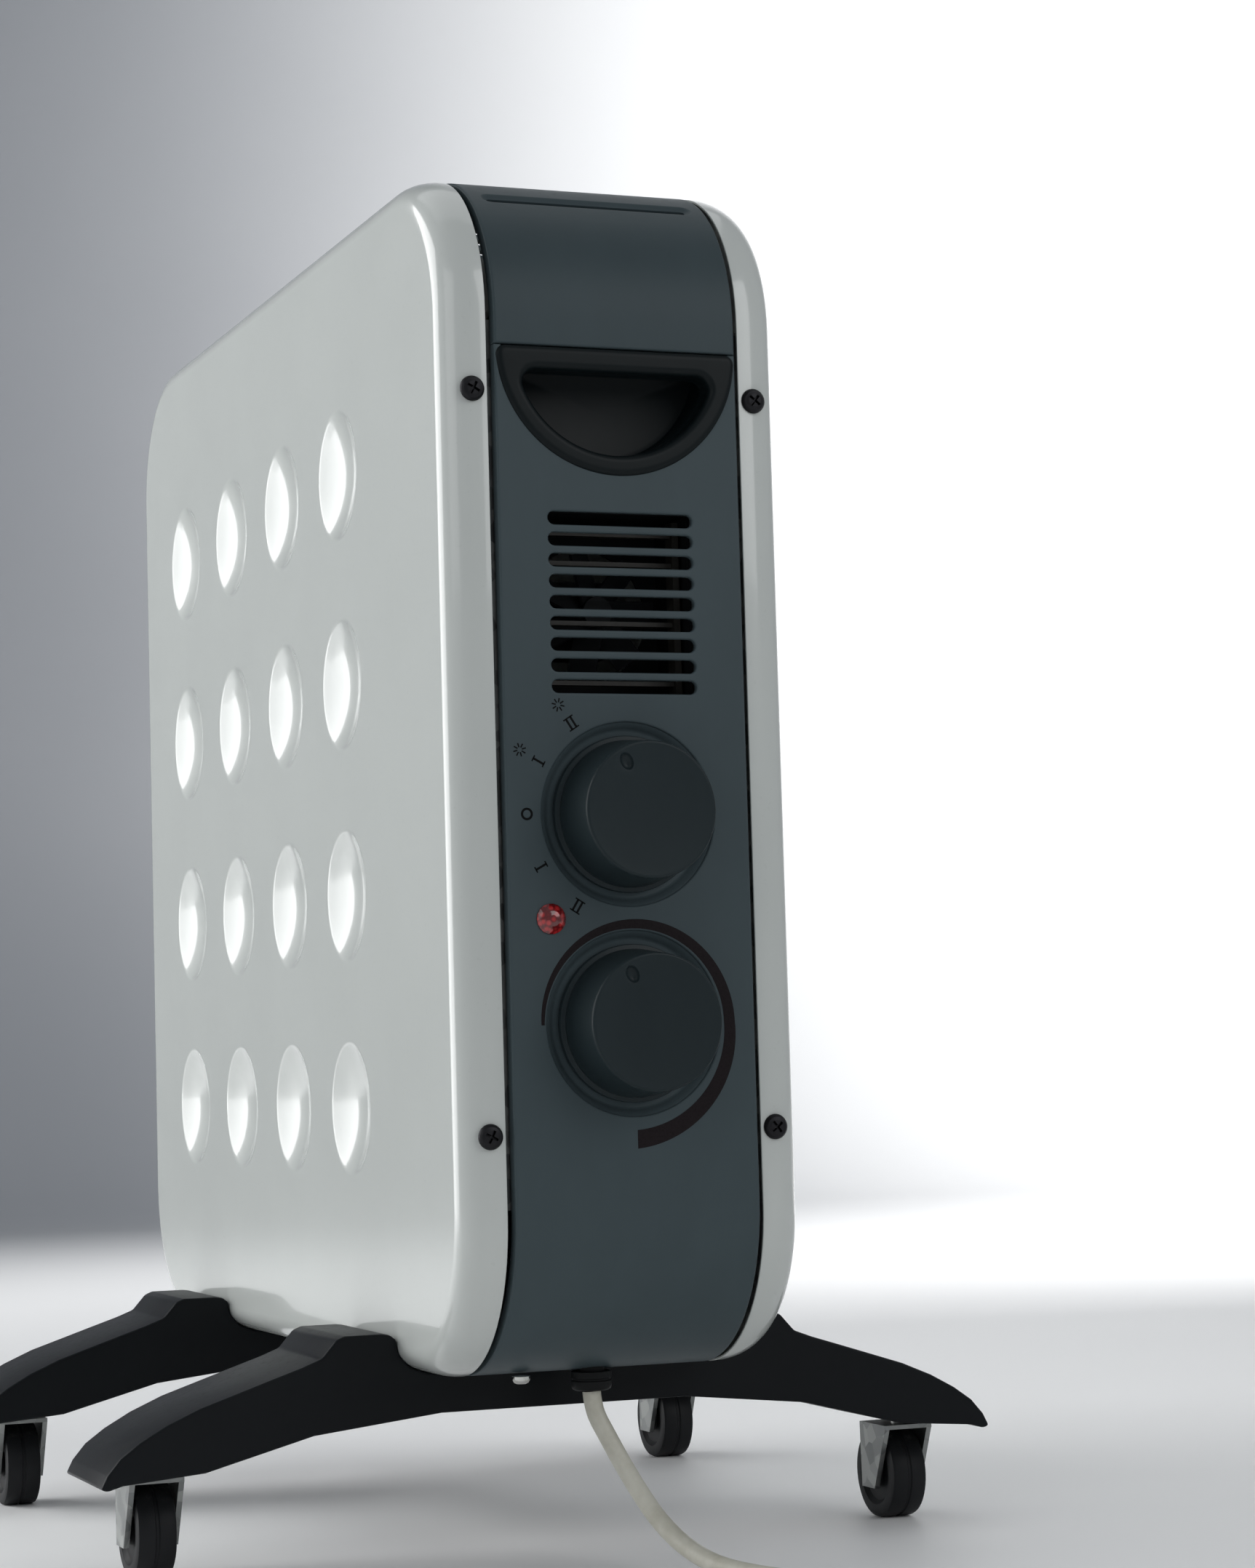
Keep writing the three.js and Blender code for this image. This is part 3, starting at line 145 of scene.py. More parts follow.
def coil_turns(step):
    """The wound turns, each stage easing from one radius and height to the next."""
    places = []
    for start, end in zip(COIL_STAGES, COIL_STAGES[1:]):
        a0, r0, z0 = start
        a1, r1, z1 = end
        count = max(2, round(abs(a1 - a0) / step))
        last = end == COIL_STAGES[-1]
        for i in range(count):
            share = i / count
            angle = math.radians(a0 + (a1 - a0) * share)
            blend = ease(share)
            radius = r0 + (r1 - r0) * blend
            height = z0 + (z1 - z0) * blend
            if last:
                radius = r0 + (r1 - r0) * math.sin(share * math.pi / 2)
                height = z0 + (z1 - z0) * (1 - math.cos(share * math.pi / 2))
            places.append((COIL_MIDDLE[0] + radius * math.cos(angle),
                           COIL_MIDDLE[1] + radius * math.sin(angle), height))
    return places


def smooth_route(points, per_span):
    """A centripetal curve through the points."""
    points = [Vector(p) for p in points]
    points = [2 * points[0] - points[1]] + points + [2 * points[-1] - points[-2]]
    route = []
    for p0, p1, p2, p3 in zip(points, points[1:], points[2:], points[3:]):
        t0 = 0.0
        t1 = t0 + math.sqrt((p1 - p0).length)
        t2 = t1 + math.sqrt((p2 - p1).length)
        t3 = t2 + math.sqrt((p3 - p2).length)
        for i in range(per_span):
            t = t1 + (t2 - t1) * i / per_span
            a1 = p0 * ((t1 - t) / (t1 - t0)) + p1 * ((t - t0) / (t1 - t0))
            a2 = p1 * ((t2 - t) / (t2 - t1)) + p2 * ((t - t1) / (t2 - t1))
            a3 = p2 * ((t3 - t) / (t3 - t2)) + p3 * ((t - t2) / (t3 - t2))
            b1 = a1 * ((t2 - t) / (t2 - t0)) + a2 * ((t - t0) / (t2 - t0))
            b2 = a2 * ((t3 - t) / (t3 - t1)) + a3 * ((t - t1) / (t3 - t1))
            route.append(b1 * ((t2 - t) / (t2 - t1)) + b2 * ((t - t1) / (t2 - t1)))
    route.append(points[-2])
    return route


COIL_STEP = 12
POINTS_PER_SPAN = 3
tail_start = (COIL_MIDDLE[0], COIL_MIDDLE[1] - COIL_STAGES[-1][1], COIL_STAGES[-1][2])
cord_knots = CORD_ROUTE + coil_turns(COIL_STEP) + [tail_start] + CORD_TAIL
cord_line = smooth_route(cord_knots, POINTS_PER_SPAN)
cord_length = sum((b - a).length for a, b in zip(cord_line, cord_line[1:]))


# ---- finishes ----
class Wire:
    """A socket that sums and scales as a number does."""

    def __init__(self, finish, socket):
        self.finish = finish
        self.socket = socket

    def reckon(self, operation, *values):
        return self.finish.node("Math", {"operation": operation}, dict(enumerate(values)))

    def __add__(self, other):
        return self.reckon("ADD", self, other)

    def __sub__(self, other):
        return self.reckon("SUBTRACT", self, other)

    def __rsub__(self, other):
        return self.reckon("SUBTRACT", other, self)

    def __mul__(self, other):
        return self.reckon("MULTIPLY", self, other)

    __radd__ = __add__
    __rmul__ = __mul__

    def ramp(self, low, high):
        """0 below low and 1 above high, smoothly between."""
        return self.finish.node(
            "MapRange", {"interpolation_type": "SMOOTHSTEP", "clamp": True},
            {"Value": self, "From Min": low, "From Max": high})


class Finish:
    """A material whose nodes are added one at a time."""

    def __init__(self, name, colour, rough, metal=0.0, coat=0.0):
        self.material = bpy.data.materials.new(name)
        self.material.use_nodes = True
        self.tree = self.material.node_tree
        self.shader = next(n for n in self.tree.nodes if n.type == "BSDF_PRINCIPLED")
        self.put("Base Color", shade(colour))
        self.put("Roughness", rough)
        self.put("Metallic", metal)
        self.put("Coat Weight", coat)
        self.places = self.node("TexCoord", {}, {}, "Object")

    def node(self, kind, settings, values, output=0):
        made = self.tree.nodes.new("ShaderNode" + kind)
        for name, value in settings.items():
            setattr(made, name, value)
        for name, value in values.items():
            self.join(made.inputs[name], value)
        return Wire(self, made.outputs[output])

    def join(self, socket, value):
        if isinstance(value, Wire):
            self.tree.links.new(value.socket, socket)
        else:
            socket.default_value = value

    def put(self, name, value):
        self.join(self.shader.inputs[name], value)

    def noise(self, size, detail=3.0, rough=0.55, stretch=None):
        """Soft patches about size millimetres across."""
        places = self.places
        if stretch:
            places = self.node("Mapping", {}, {"Vector": self.places, "Scale": stretch})
        return self.node("TexNoise", {}, {"Vector": places, "Scale": 1000 / size, "Detail": detail,
                                          "Roughness": rough})

    def blend(self, share, first, second):
        return self.node("Mix", {"data_type": "RGBA"}, {0: share, 6: first, 7: second}, 2)

    def bump(self, height, strength, depth):
        normal = self.node("Bump", {}, {"Height": height, "Strength": strength, "Distance": depth / 1000})
        self.put("Normal", normal)


def shade(colour, lift=1.0):
    """A display colour, 0 to 255, as the light it gives back."""
    parts = [c / 255 for c in colour]
    parts = [c / 12.92 if c <= 0.04045 else ((c + 0.055) / 1.055) ** 2.4 for c in parts]
    return tuple(min(1.0, c * lift) for c in parts) + (1.0,)


def enamel(name, colour, rough=0.2):
    """Baked enamel: a faint orange peel, a little cloudiness and a thin clear gloss."""
    finish = Finish(name, colour, rough, coat=0.6)
    finish.shader.inputs["Coat Roughness"].default_value = 0.05
    cloud = finish.noise(60, 3)
    fine = finish.noise(1.6, 3)
    peel = finish.noise(4.5, 2)
    speck = finish.noise(2.4, 1).ramp(0.70, 0.76)
    base = finish.blend(cloud, shade(colour, 0.97), shade(colour, 1.02))
    finish.put("Base Color", finish.blend(speck * 0.22, base, shade(colour, 0.86)))
    finish.put("Roughness", cloud * 0.05 + fine * 0.03 + (rough - 0.04))
    finish.bump(peel * 0.8 + fine * 0.2, 0.05, 0.10)
    return finish


def moulded(name, colour, rough=0.42, grain=0.55, coat=0.0, dust=0.5, depth=0.05):
    """Moulded plastic: a fine spark grain, faint flow marks, and a trace of dust on top."""
    finish = Finish(name, colour, rough, coat=coat)
    finish.shader.inputs["Specular IOR Level"].default_value = 0.15
    spark = finish.noise(grain, 2, 0.6)
    flow = finish.noise(35, 4, 0.6, (1, 1, 0.35))
    base = finish.blend(flow, shade(colour, 0.88), shade(colour, 1.14))
    up = finish.node("SeparateXYZ", {}, {0: finish.node("NewGeometry", {}, {}, "Normal")}, 2)
    lint = up.ramp(0.55, 1.0) * finish.noise(3.5, 4, 0.7).ramp(0.48, 0.75) * (0.12 * dust)
    finish.put("Base Color", finish.blend(lint, base, shade((170, 166, 158))))
    finish.put("Roughness", flow * 0.10 + spark * 0.06 + lint * 1.5 + (rough - 0.08))
    finish.bump(spark, 0.18, depth)
    return finish


def metal(name, colour, rough, stain=0.5):
    """Bare or plated metal, with rub marks and dull patches."""
    finish = Finish(name, colour, rough, metal=1.0)
    rub = finish.noise(0.7, 3, 0.6)
    dull = finish.noise(14, 4, 0.6)
    finish.put("Base Color", finish.blend(dull * stain, shade(colour, 1.05), shade(colour, 0.7)))
    finish.put("Roughness", rub * 0.12 + dull * 0.14 + (rough - 0.08))
    finish.bump(rub, 0.12, 0.03)
    return finish


def galvanised(name):
    """Zinc coated steel, with its grey spangles."""
    finish = Finish(name, (150, 152, 150), 0.42, metal=1.0)
    spangle = finish.node("TexVoronoi", {}, {"Vector": finish.places, "Scale": 140.0}, "Color")
    grey = finish.node("RGBToBW", {}, {0: spangle})
    finish.put("Base Color", finish.blend(grey, shade((118, 121, 121)), shade((170, 172, 170))))
    finish.put("Roughness", grey * 0.2 + 0.32)
    finish.bump(grey, 0.08, 0.05)
    return finish


def cord_jacket(name):
    """Ivory cord sheath: soft, slightly grubby, with faint draw lines."""
    finish = Finish(name, (205, 203, 190), 0.42)
    grub = finish.noise(18, 4, 0.6)
    fine = finish.noise(0.6, 2)
    soil = grub.ramp(0.35, 0.8)
    finish.put("Base Color", finish.blend(soil, shade((209, 207, 195)), shade((186, 183, 168))))
    finish.put("Roughness", grub * 0.15 + 0.34)
    finish.bump(fine, 0.12, 0.05)
    return finish


def red_lens_with_painted_glints(name):
    """Clear red plastic, its base colour cut into small cells, bright red at their centres and darker red
    between: the bright centres are painted glints, light caught inside the lens painted into its colour.
    """
    finish = Finish(name, (150, 26, 28), 0.12, coat=0.8)
    glint_cells = finish.node("TexVoronoi", {}, {"Vector": finish.places, "Scale": 420.0})
    # painted glints: cell centres lighter red, as if lit from inside the lens, their edges darker red
    finish.put("Base Color", finish.blend(glint_cells.ramp(0.2, 0.7), shade((178, 40, 42)), shade((96, 12, 16))))
    finish.put("Roughness", glint_cells * 0.12 + 0.08)
    finish.bump(glint_cells, 0.35, 0.2)
    return finish


def printed(name, colour):
    """Printing ink, thin and slightly broken."""
    finish = Finish(name, colour, 0.5)
    finish.shader.inputs["Specular IOR Level"].default_value = 0.08
    worn = finish.noise(0.9, 3).ramp(0.35, 0.8)
    finish.put("Base Color", finish.blend(worn, shade(colour, 1.12), shade(colour, 0.8)))
    finish.put("Roughness", worn * 0.15 + 0.42)
    finish.bump(worn, 0.1, 0.02)
    return finish


def sheeted(name, colour, rough, size):
    """Layered board or resin, mottled."""
    finish = Finish(name, colour, rough)
    flake = finish.node("TexVoronoi", {}, {"Vector": finish.places, "Scale": 1000 / size}, "Distance")
    cloud = finish.noise(size * 3, 4)
    finish.put("Base Color", finish.blend(flake * cloud, shade(colour, 0.75), shade(colour, 1.35)))
    finish.put("Roughness", cloud * 0.2 + (rough - 0.1))
    finish.bump(flake, 0.15, 0.05)
    return finish


WHITE = enamel("white enamel", (196, 200, 197))
CHARCOAL = moulded("charcoal housing", (66, 77, 81), 0.40)
COVER = moulded("charcoal top cover", (60, 71, 75), 0.40)
HANDLE = moulded("black handle", (12, 19, 21), 0.40, dust=0.3)
KNOB = moulded("black knob", (33, 42, 45), 0.36, coat=0.02, dust=0.2)
FOOT = moulded("foot plastic", (14, 17, 20), 0.36)
WHEEL = moulded("wheel plastic", (30, 31, 33), 0.48, dust=1.5)
DARK = moulded("dark inside plastic", (26, 28, 30), 0.6)
SCREW = metal("blackened screw", (46, 46, 48), 0.42)
CHROME = metal("bright screw", (214, 214, 210), 0.16)
STEEL = galvanised("galvanised steel")
OIL_ENAMEL = enamel("white core enamel", (190, 193, 190), 0.34)
LENS = red_lens_with_painted_glints("red lens")
LAMP = moulded("lamp glass", (196, 120, 84), 0.15, coat=0.6, dust=0)
MICA_DARK = sheeted("smoked mica board", (44, 42, 38), 0.5, 3)
PHENOLIC = sheeted("phenolic", (60, 38, 24), 0.45, 1.5)
SHEATH = cord_jacket("ivory cord sheath")
GROMMET = moulded("black grommet", (20, 21, 22), 0.5, dust=0.2)
PRINT = printed("brown grey print", (30, 25, 27))
PRINT_LINE = printed("dark print", (9, 10, 11))


# ---- making meshes ----
class Shape:
    """A mesh in the making: points in millimetres and faces."""

    def __init__(self):
        self.points = []
        self.faces = []

    def ring(self, points):
        start = len(self.points)
        self.points.extend(tuple(p) for p in points)
        return list(range(start, len(self.points)))

    def bridge(self, first, second):
        for i in range(len(first)):
            j = (i + 1) % len(first)
            self.faces.append((first[i], first[j], second[j], second[i]))

    def pole(self, ring, point):
        tip = self.ring([point])[0]
        for i, first in enumerate(ring):
            self.faces.append((first, ring[(i + 1) % len(ring)], tip))

    def piece(self, name, body, finish, replaced=(), angle=38):
        mesh = bpy.data.meshes.new(name)
        mesh.from_pydata([at(*p) for p in self.points], [], self.faces)
        work = bmesh.new()
        work.from_mesh(mesh)
        bmesh.ops.remove_doubles(work, verts=work.verts, dist=1e-6)
        bmesh.ops.dissolve_degenerate(work, edges=work.edges, dist=1e-7)
        bmesh.ops.recalc_face_normals(work, faces=work.faces)
        work.to_mesh(mesh)
        work.free()
        return settle(name, mesh, body, finish, replaced, angle)


def settle(name, mesh, body, finish, replaced=(), angle=38):
    """Puts a mesh in the scene, riding on its body in place of its CAD nodes."""
    mesh.shade_smooth()
    mesh.set_sharp_from_angle(angle=math.radians(angle))
    mesh.materials.clear()
    mesh.materials.append(finish.material)
    made = bpy.data.objects.new(name, mesh)
    bpy.context.scene.collection.objects.link(made)
    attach(made, body)
    if replaced:
        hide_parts(*replaced)
    return made


def arc(centre, radius, start, end, steps):
    """Points of an arc, in degrees, both ends included."""
    angles = [math.radians(start + (end - start) * i / steps) for i in range(steps + 1)]
    return [(centre[0] + radius * math.cos(a), centre[1] + radius * math.sin(a)) for a in angles]


def circle(centre, radius, sides):
    return arc(centre, radius, 0, 360, sides)[:-1]


def rounded_box(low, high, radius, steps=10):
    (x0, y0), (x1, y1) = low, high
    corners = [((x1 - radius, y1 - radius), 0), ((x0 + radius, y1 - radius), 90),
               ((x0 + radius, y0 + radius), 180), ((x1 - radius, y0 + radius), 270)]
    return [p for centre, start in corners for p in arc(centre, radius, start, start + 90, steps)]


def slot_loop(centre, length, width, steps=7):
    reach = (length - width) / 2
    return (arc((centre[0] + reach, centre[1]), width / 2, -90, 90, steps)
            + arc((centre[0] - reach, centre[1]), width / 2, 90, 270, steps))


def moved_loop(loop, distance):
    """A closed loop, anticlockwise, with each side moved outwards by the distance."""
    points = np.array(loop, float)
    before = points - np.roll(points, 1, axis=0)
    after = np.roll(points, -1, axis=0) - points
    before /= np.linalg.norm(before, axis=1)[:, None]
    after /= np.linalg.norm(after, axis=1)[:, None]
    side0 = np.stack([before[:, 1], -before[:, 0]], axis=1)
    side1 = np.stack([after[:, 1], -after[:, 0]], axis=1)
    total = side0 + side1
    scale = 1 + (side0 * side1).sum(axis=1)
    return points + distance * total / np.maximum(scale, 0.35)[:, None]


def softened(loop, radius, steps=5, sharp=20):
    """The loop with its sharp corners rounded."""
    made = []
    count = len(loop)
    for i in range(count):
        a, b, c = (Vector(loop[(i + k) % count]) for k in (-1, 0, 1))
        turn = math.degrees((b - a).angle(c - b))
        if turn < sharp:
            made.append(tuple(b))
            continue
        reach = min(radius * math.tan(math.radians(turn / 2)), (b - a).length * 0.45, (c - b).length * 0.45)
        start = b + (a - b).normalized() * reach
        end = b + (c - b).normalized() * reach
        for k in range(steps + 1):
            t = k / steps
            made.append(tuple(start * (1 - t) ** 2 + b * (2 * t * (1 - t)) + end * t ** 2))
    return made


def even_loop(loop, span):
    """The loop with its long straight runs cut into shorter ones."""
    made = []
    for i, here in enumerate(loop):
        there = loop[(i + 1) % len(loop)]
        length = math.dist(here, there)
        cuts = max(1, math.ceil(length / span))
        for k in range(cuts):
            made.append(tuple(here[n] + (there[n] - here[n]) * k / cuts for n in (0, 1)))
    return made


def filled(loops, spare=()):
    """Triangles between an outline and its openings, as numbers into all their points."""
    points = [tuple(p) for loop in loops for p in loop] + [tuple(p) for p in spare]
    edges = []
    start = 0
    for loop in loops:
        edges += [(start + i, start + (i + 1) % len(loop)) for i in range(len(loop))]
        start += len(loop)
    found, _, triangles, origin, _, _ = delaunay_2d_cdt([Vector(p) for p in points], edges, [], 0, 1e-5, True)
    numbers = []
    for spot, known in zip(found, origin):
        numbers.append(known[0] if known else len(points))
        if not known:
            points.append(tuple(spot))
    flat = np.array(points)
    a = flat[[e[0] for e in edges]]
    b = flat[[e[1] for e in edges]]
    centres = np.array([[sum(found[i][n] for i in t) / 3 for n in (0, 1)] for t in triangles])
    crossings = np.zeros(len(triangles), int)
    for p, q in zip(a, b):
        spans = (p[1] > centres[:, 1]) != (q[1] > centres[:, 1])
        if p[1] != q[1]:
            reach = p[0] + (centres[:, 1] - p[1]) * (q[0] - p[0]) / (q[1] - p[1])
            crossings += spans & (centres[:, 0] < reach)
    return points, [[numbers[i] for i in t] for t, c in zip(triangles, crossings) if c % 2]


class Rim:
    """A loop of a plate, with the path its edge takes as outward steps and depths. A path that
    ends in a tip is a dish; back is the path of its other side, and a rim without one is open
    to the back."""

    def __init__(self, loop, path, tip=None, back=None, back_tip=None, outline=False):
        self.loop = loop
        self.path = path
        self.tip = tip
        self.back = back
        self.back_tip = back_tip
        self.side = 1 if outline else -1

    def row(self, step):
        return moved_loop(self.loop, self.side * step)

    def centre(self):
        return np.array(self.loop).mean(axis=0)


def plate(shape, place, rims, spare=(), back_spare=None):
    """A plate with rounded edges, openings and dishes: a filled front, edges, and a filled back."""
    def fill(rows, ids, extras, depth):
        points, triangles = filled(rows, extras)
        numbers = [n for row in ids for n in row]
        numbers += shape.ring([place(x, v, depth) for x, v in points[len(numbers):]])
        shape.faces.extend(tuple(numbers[i] for i in t) for t in triangles)

    fronts, front_ids, backs, back_ids = [], [], [], []
    back_depth = rims[0].path[-1][1]
    for rim in rims:
        ids = [shape.ring([place(x, v, depth) for x, v in rim.row(step)]) for step, depth in rim.path]
        for first, second in zip(ids, ids[1:]):
            shape.bridge(first, second)
        fronts.append(rim.row(rim.path[0][0]))
        front_ids.append(ids[0])
        if rim.tip is not None:
            shape.pole(ids[-1], place(*rim.centre(), rim.tip))
        else:
            backs.append(rim.row(rim.path[-1][0]))
            back_ids.append(ids[-1])
        if rim.back:
            ids = [shape.ring([place(x, v, depth) for x, v in rim.row(step)]) for step, depth in rim.back]
            for first, second in zip(ids, ids[1:]):
                shape.bridge(first, second)
            shape.pole(ids[-1], place(*rim.centre(), rim.back_tip))
            backs.append(rim.row(rim.back[0][0]))
            back_ids.append(ids[0])
    fill(fronts, front_ids, spare, rims[0].path[0][1])
    fill(backs, back_ids, spare if back_spare is None else back_spare, back_depth)


def rounded_edge(radius, steps=4, guard=0.4):
    """From the flat face over a rounded edge, as outward steps and depths."""
    path = [(-radius - guard, 0)]
    for i in range(steps + 1):
        turn = math.pi / 2 * i / steps
        path.append((radius * (math.sin(turn) - 1), radius * (1 - math.cos(turn))))
    return path


def turned(shape, profile, centre, axis, sides=48):
    """A turned part: profile as [radius, distance along the axis]."""
    ahead = Vector(axis).normalized()
    across = ahead.orthogonal().normalized()
    aside = ahead.cross(across)
    rows = []
    for radius, along in profile:
        middle_point = Vector(centre) + ahead * along
        if radius < 1e-6:
            rows.append(middle_point)
            continue
        rows.append(shape.ring([
            middle_point + across * (radius * math.cos(a)) + aside * (radius * math.sin(a))
            for a in (2 * math.pi * i / sides for i in range(sides))]))
    for first, second in zip(rows, rows[1:]):
        if isinstance(first, Vector):
            shape.pole(second, first)
        elif isinstance(second, Vector):
            shape.pole(first, second)
        else:
            shape.bridge(first, second)


# ---- side panels ----
ROLL_WIDTH = 18.8
ROLL_DEPTH = 12.7
SHEET = 0.9
FLANGE_EDGE = 59.8
CORNER_RADIUS = 72.7
DIMPLE_DEPTH = 7.8
DIMPLE_SPHERE = 65.5
DIMPLE_ROUNDING = 4.5
DIMPLE_COUNT = 4
DIMPLE_PITCH_Y = 99.5
DIMPLE_PITCH_Z = 100.8
DIMPLE_ROWS = [TOP - 119.3 - DIMPLE_PITCH_Z * i for i in range(DIMPLE_COUNT)]
DIMPLE_COLUMNS = [163.2 + DIMPLE_PITCH_Y * i for i in range(DIMPLE_COUNT)]
DIMPLE_SIDES = 60


def dimple_path(sink, grow, steps):
    """From the flat face over the soft rim and down a shallow bowl."""
    reach = DIMPLE_SPHERE + DIMPLE_ROUNDING
    flat = math.sqrt(DIMPLE_DEPTH * (2 * reach - DIMPLE_DEPTH))
    turn = math.asin(flat / reach)
    path = [(-0.5 - grow, sink)]
    for i in range(5):
        a = turn * i / 4
        path.append((DIMPLE_ROUNDING * math.sin(a) - grow, sink + DIMPLE_ROUNDING * (1 - math.cos(a))))
    for i in range(1, steps):
        a = turn * (1 - i / steps)
        path.append((flat - DIMPLE_SPHERE * math.sin(a) - grow * math.sin(a) / math.sin(turn),
                     sink + DIMPLE_SPHERE * (math.cos(a) - 1) + DIMPLE_DEPTH))
    return flat, path


def side_panel(side, name, node):
    shape = Shape()
    inset = ROLL_DEPTH
    loop = rounded_box((inset, BOTTOM + inset), (BODY_LENGTH - inset, TOP - inset), CORNER_RADIUS - inset, 20)
    path = [(-0.5, 0)]
    turns = [math.pi / 2 * i / 12 for i in range(13)]
    path += [(ROLL_DEPTH * math.sin(a), ROLL_WIDTH * (1 - math.cos(a))) for a in turns]
    path += [(ROLL_DEPTH, HALF_WIDTH - FLANGE_EDGE - 0.2), (ROLL_DEPTH - 0.2, HALF_WIDTH - FLANGE_EDGE),
             (ROLL_DEPTH - SHEET, HALF_WIDTH - FLANGE_EDGE)]
    path += [((ROLL_DEPTH - SHEET) * math.sin(a), ROLL_WIDTH - (ROLL_WIDTH - SHEET) * math.cos(a))
             for a in reversed(turns)]
    rims = [Rim(loop, path, outline=True)]
    flat, front = dimple_path(0, 0, 10)
    _, back = dimple_path(SHEET, 0.6, 5)
    for y in DIMPLE_COLUMNS:
        for z in DIMPLE_ROWS:
            hollow = circle((y, z), flat, DIMPLE_SIDES)
            rims.append(Rim(hollow, front, DIMPLE_DEPTH, back, DIMPLE_DEPTH + SHEET))
    plate(shape, lambda y, z, depth: (side * (HALF_WIDTH - depth), y, z), rims)
    return shape.piece(name, "base", WHITE, [node])


side_panel(1, "right_panel", "right_side_panel")
side_panel(-1, "left_panel", "left_side_panel")

# ---- control housing, top cover and rear cover ----
HOUSING_HALF = 57.1
WALL = 2.5
FACE = -3
END_RADIUS = 75.7
HOUSING_DEPTH = 118
REAR_DEPTH = 76
PART_LINE = TOP - 87.8
LIP = 6
LIP_WALL = 1.2
EDGE = 1.0
TOP_SLOT_TURN = 53.5
LOW_FLAT = BOTTOM + END_RADIUS
HIGH_FLAT = TOP - END_RADIUS
QUARTER = END_RADIUS * math.pi / 2


def fold(x, v, depth):
    """The housing's sheet, laid flat as width and height, bent round the rounded end."""
    if LOW_FLAT <= v <= HIGH_FLAT:
        return (x, FACE + depth, v)
    centre_z, way = (HIGH_FLAT, 1) if v > HIGH_FLAT else (LOW_FLAT, -1)
    run = (v - centre_z) * way
    radius = END_RADIUS - depth
    if run > QUARTER:
        return (x, FACE + END_RADIUS + run - QUARTER, centre_z + way * radius)
    turn = run / END_RADIUS
    return (x, FACE + END_RADIUS - radius * math.cos(turn), centre_z + way * radius * math.sin(turn))


def sheet_loop(low, high, half=HOUSING_HALF - EDGE):
    """A rectangle in the laid out sheet, with closely spaced points where it bends."""
    levels = [low]
    v = math.floor(low / 3) * 3
    while v < high - 1.5:
        if v > low + 1.5 and (v < LOW_FLAT + 3 or v > HIGH_FLAT - 3):
            levels.append(v)
        v += 3
    levels.append(high)
    widths = [half * (i / 6 * 2 - 1) for i in range(7)]
    loop = [(w, low) for w in widths] + [(half, v) for v in levels[1:-1]]
    loop += [(w, high) for w in reversed(widths)] + [(-half, v) for v in reversed(levels[1:-1])]
    spare = [(w * 0.94, v) for v in levels[2:-2] for w in widths]
    return loop, spare


def clear_of(points, loops, gap):
    """The points that lie outside the loops by at least the gap."""
    kept = []
    for p in points:
        near = False
        for loop in loops:
            shape = np.array(loop)
            low, high = shape.min(axis=0) - gap, shape.max(axis=0) + gap
            near = near or (low[0] < p[0] < high[0] and low[1] < p[1] < high[1])
        if not near:
            kept.append(p)
    return kept


def lipped_path(edge, lip):
    """A rounded outer edge, a lip turned back inside, and the back of the wall."""
    path = [(d + edge, z) for d, z in rounded_edge(edge, 5)]
    return path + [(edge, lip), (edge - LIP_WALL, lip), (edge - LIP_WALL, WALL + 0.01)]


def opening_path(edge, wall=WALL):
    return rounded_edge(edge, 4) + [(0, wall + 0.01)]


VENT_TOP = TOP - 163.9
VENT_PITCH = 9.3
VENT_SIZE = (68.4, 6)
VENT_EDGE = 0.8
VENTS = [(0, VENT_TOP - VENT_PITCH * i) for i in range(9)]
TOP_SLOT_SIZE = (96, 3.4)
MOUTH_RADIUS = 54.8
SELECTOR_AT = middle("selector_knob")
THERMOSTAT_AT = middle("thermostat_knob")
LENS_AT = middle("indicator_lens")
RECESS_RADIUS = 40.5
RECESS_DEPTH = 4
LENS_RADIUS = 6.75


def recess(height):
    loop = circle((0, height), RECESS_RADIUS, 96)
    path = rounded_edge(0.9, 5) + [(1.2, 1.5), (2.6, 3.2), (3.2, 3.75), (4, RECESS_DEPTH), (12, RECESS_DEPTH)]
    back = [(-WALL, WALL + 0.01), (-WALL, RECESS_DEPTH + WALL), (12, RECESS_DEPTH + WALL)]
    return Rim(loop, path, RECESS_DEPTH, back, RECESS_DEPTH + WALL)


def d_loop(radius, drop, soft, steps=60):
    """A D lying on its round side, its flat top a drop below the part line, its corners rounded."""
    low = -drop - soft
    aside = math.sqrt((radius - soft) ** 2 - low ** 2)
    dip = math.degrees(math.atan2(-low, aside))
    loop = arc((0, PART_LINE), radius, -180 + dip, -dip, steps)
    loop += arc((aside, PART_LINE + low), soft, -dip, 90, 8)[1:]
    loop += [(aside * (1 - i / 6), PART_LINE - drop) for i in range(1, 12)]
    loop += arc((-aside, PART_LINE + low), soft, 90, 180 + dip, 8)[:-1]
    return loop


def mouthed(loop, radius):
    """The housing's outline, with the handle's half round mouth let into its upper edge."""
    top = max(v for _, v in loop)
    upper = [i for i, (_, v) in enumerate(loop) if v == top]
    bite = [(x, z) for x, z in reversed(arc((0, top), radius, -180, 0, 60))]
    return loop[:upper[0] + 1] + bite + loop[upper[-1]:]


def control_housing():
    shape = Shape()
    low = LOW_FLAT - QUARTER - (HOUSING_DEPTH - FACE - END_RADIUS)
    loop, spare = sheet_loop(low + EDGE, PART_LINE - EDGE)
    vents = [slot_loop(c, *VENT_SIZE) for c in VENTS]
    rims = [Rim(mouthed(loop, MOUTH_RADIUS), lipped_path(EDGE, LIP), outline=True)]
    rims += [Rim(v, opening_path(VENT_EDGE)) for v in vents]
    rims += [recess(SELECTOR_AT.z), recess(THERMOSTAT_AT.z)]
    rims.append(Rim(circle((LENS_AT.x, LENS_AT.z), LENS_RADIUS - 0.9, 32), opening_path(0.3)))
    plate(shape, fold, rims, clear_of(spare, [r.loop for r in rims[1:]], 3))
    return shape.piece("housing", "base", CHARCOAL, ["control_housing"])


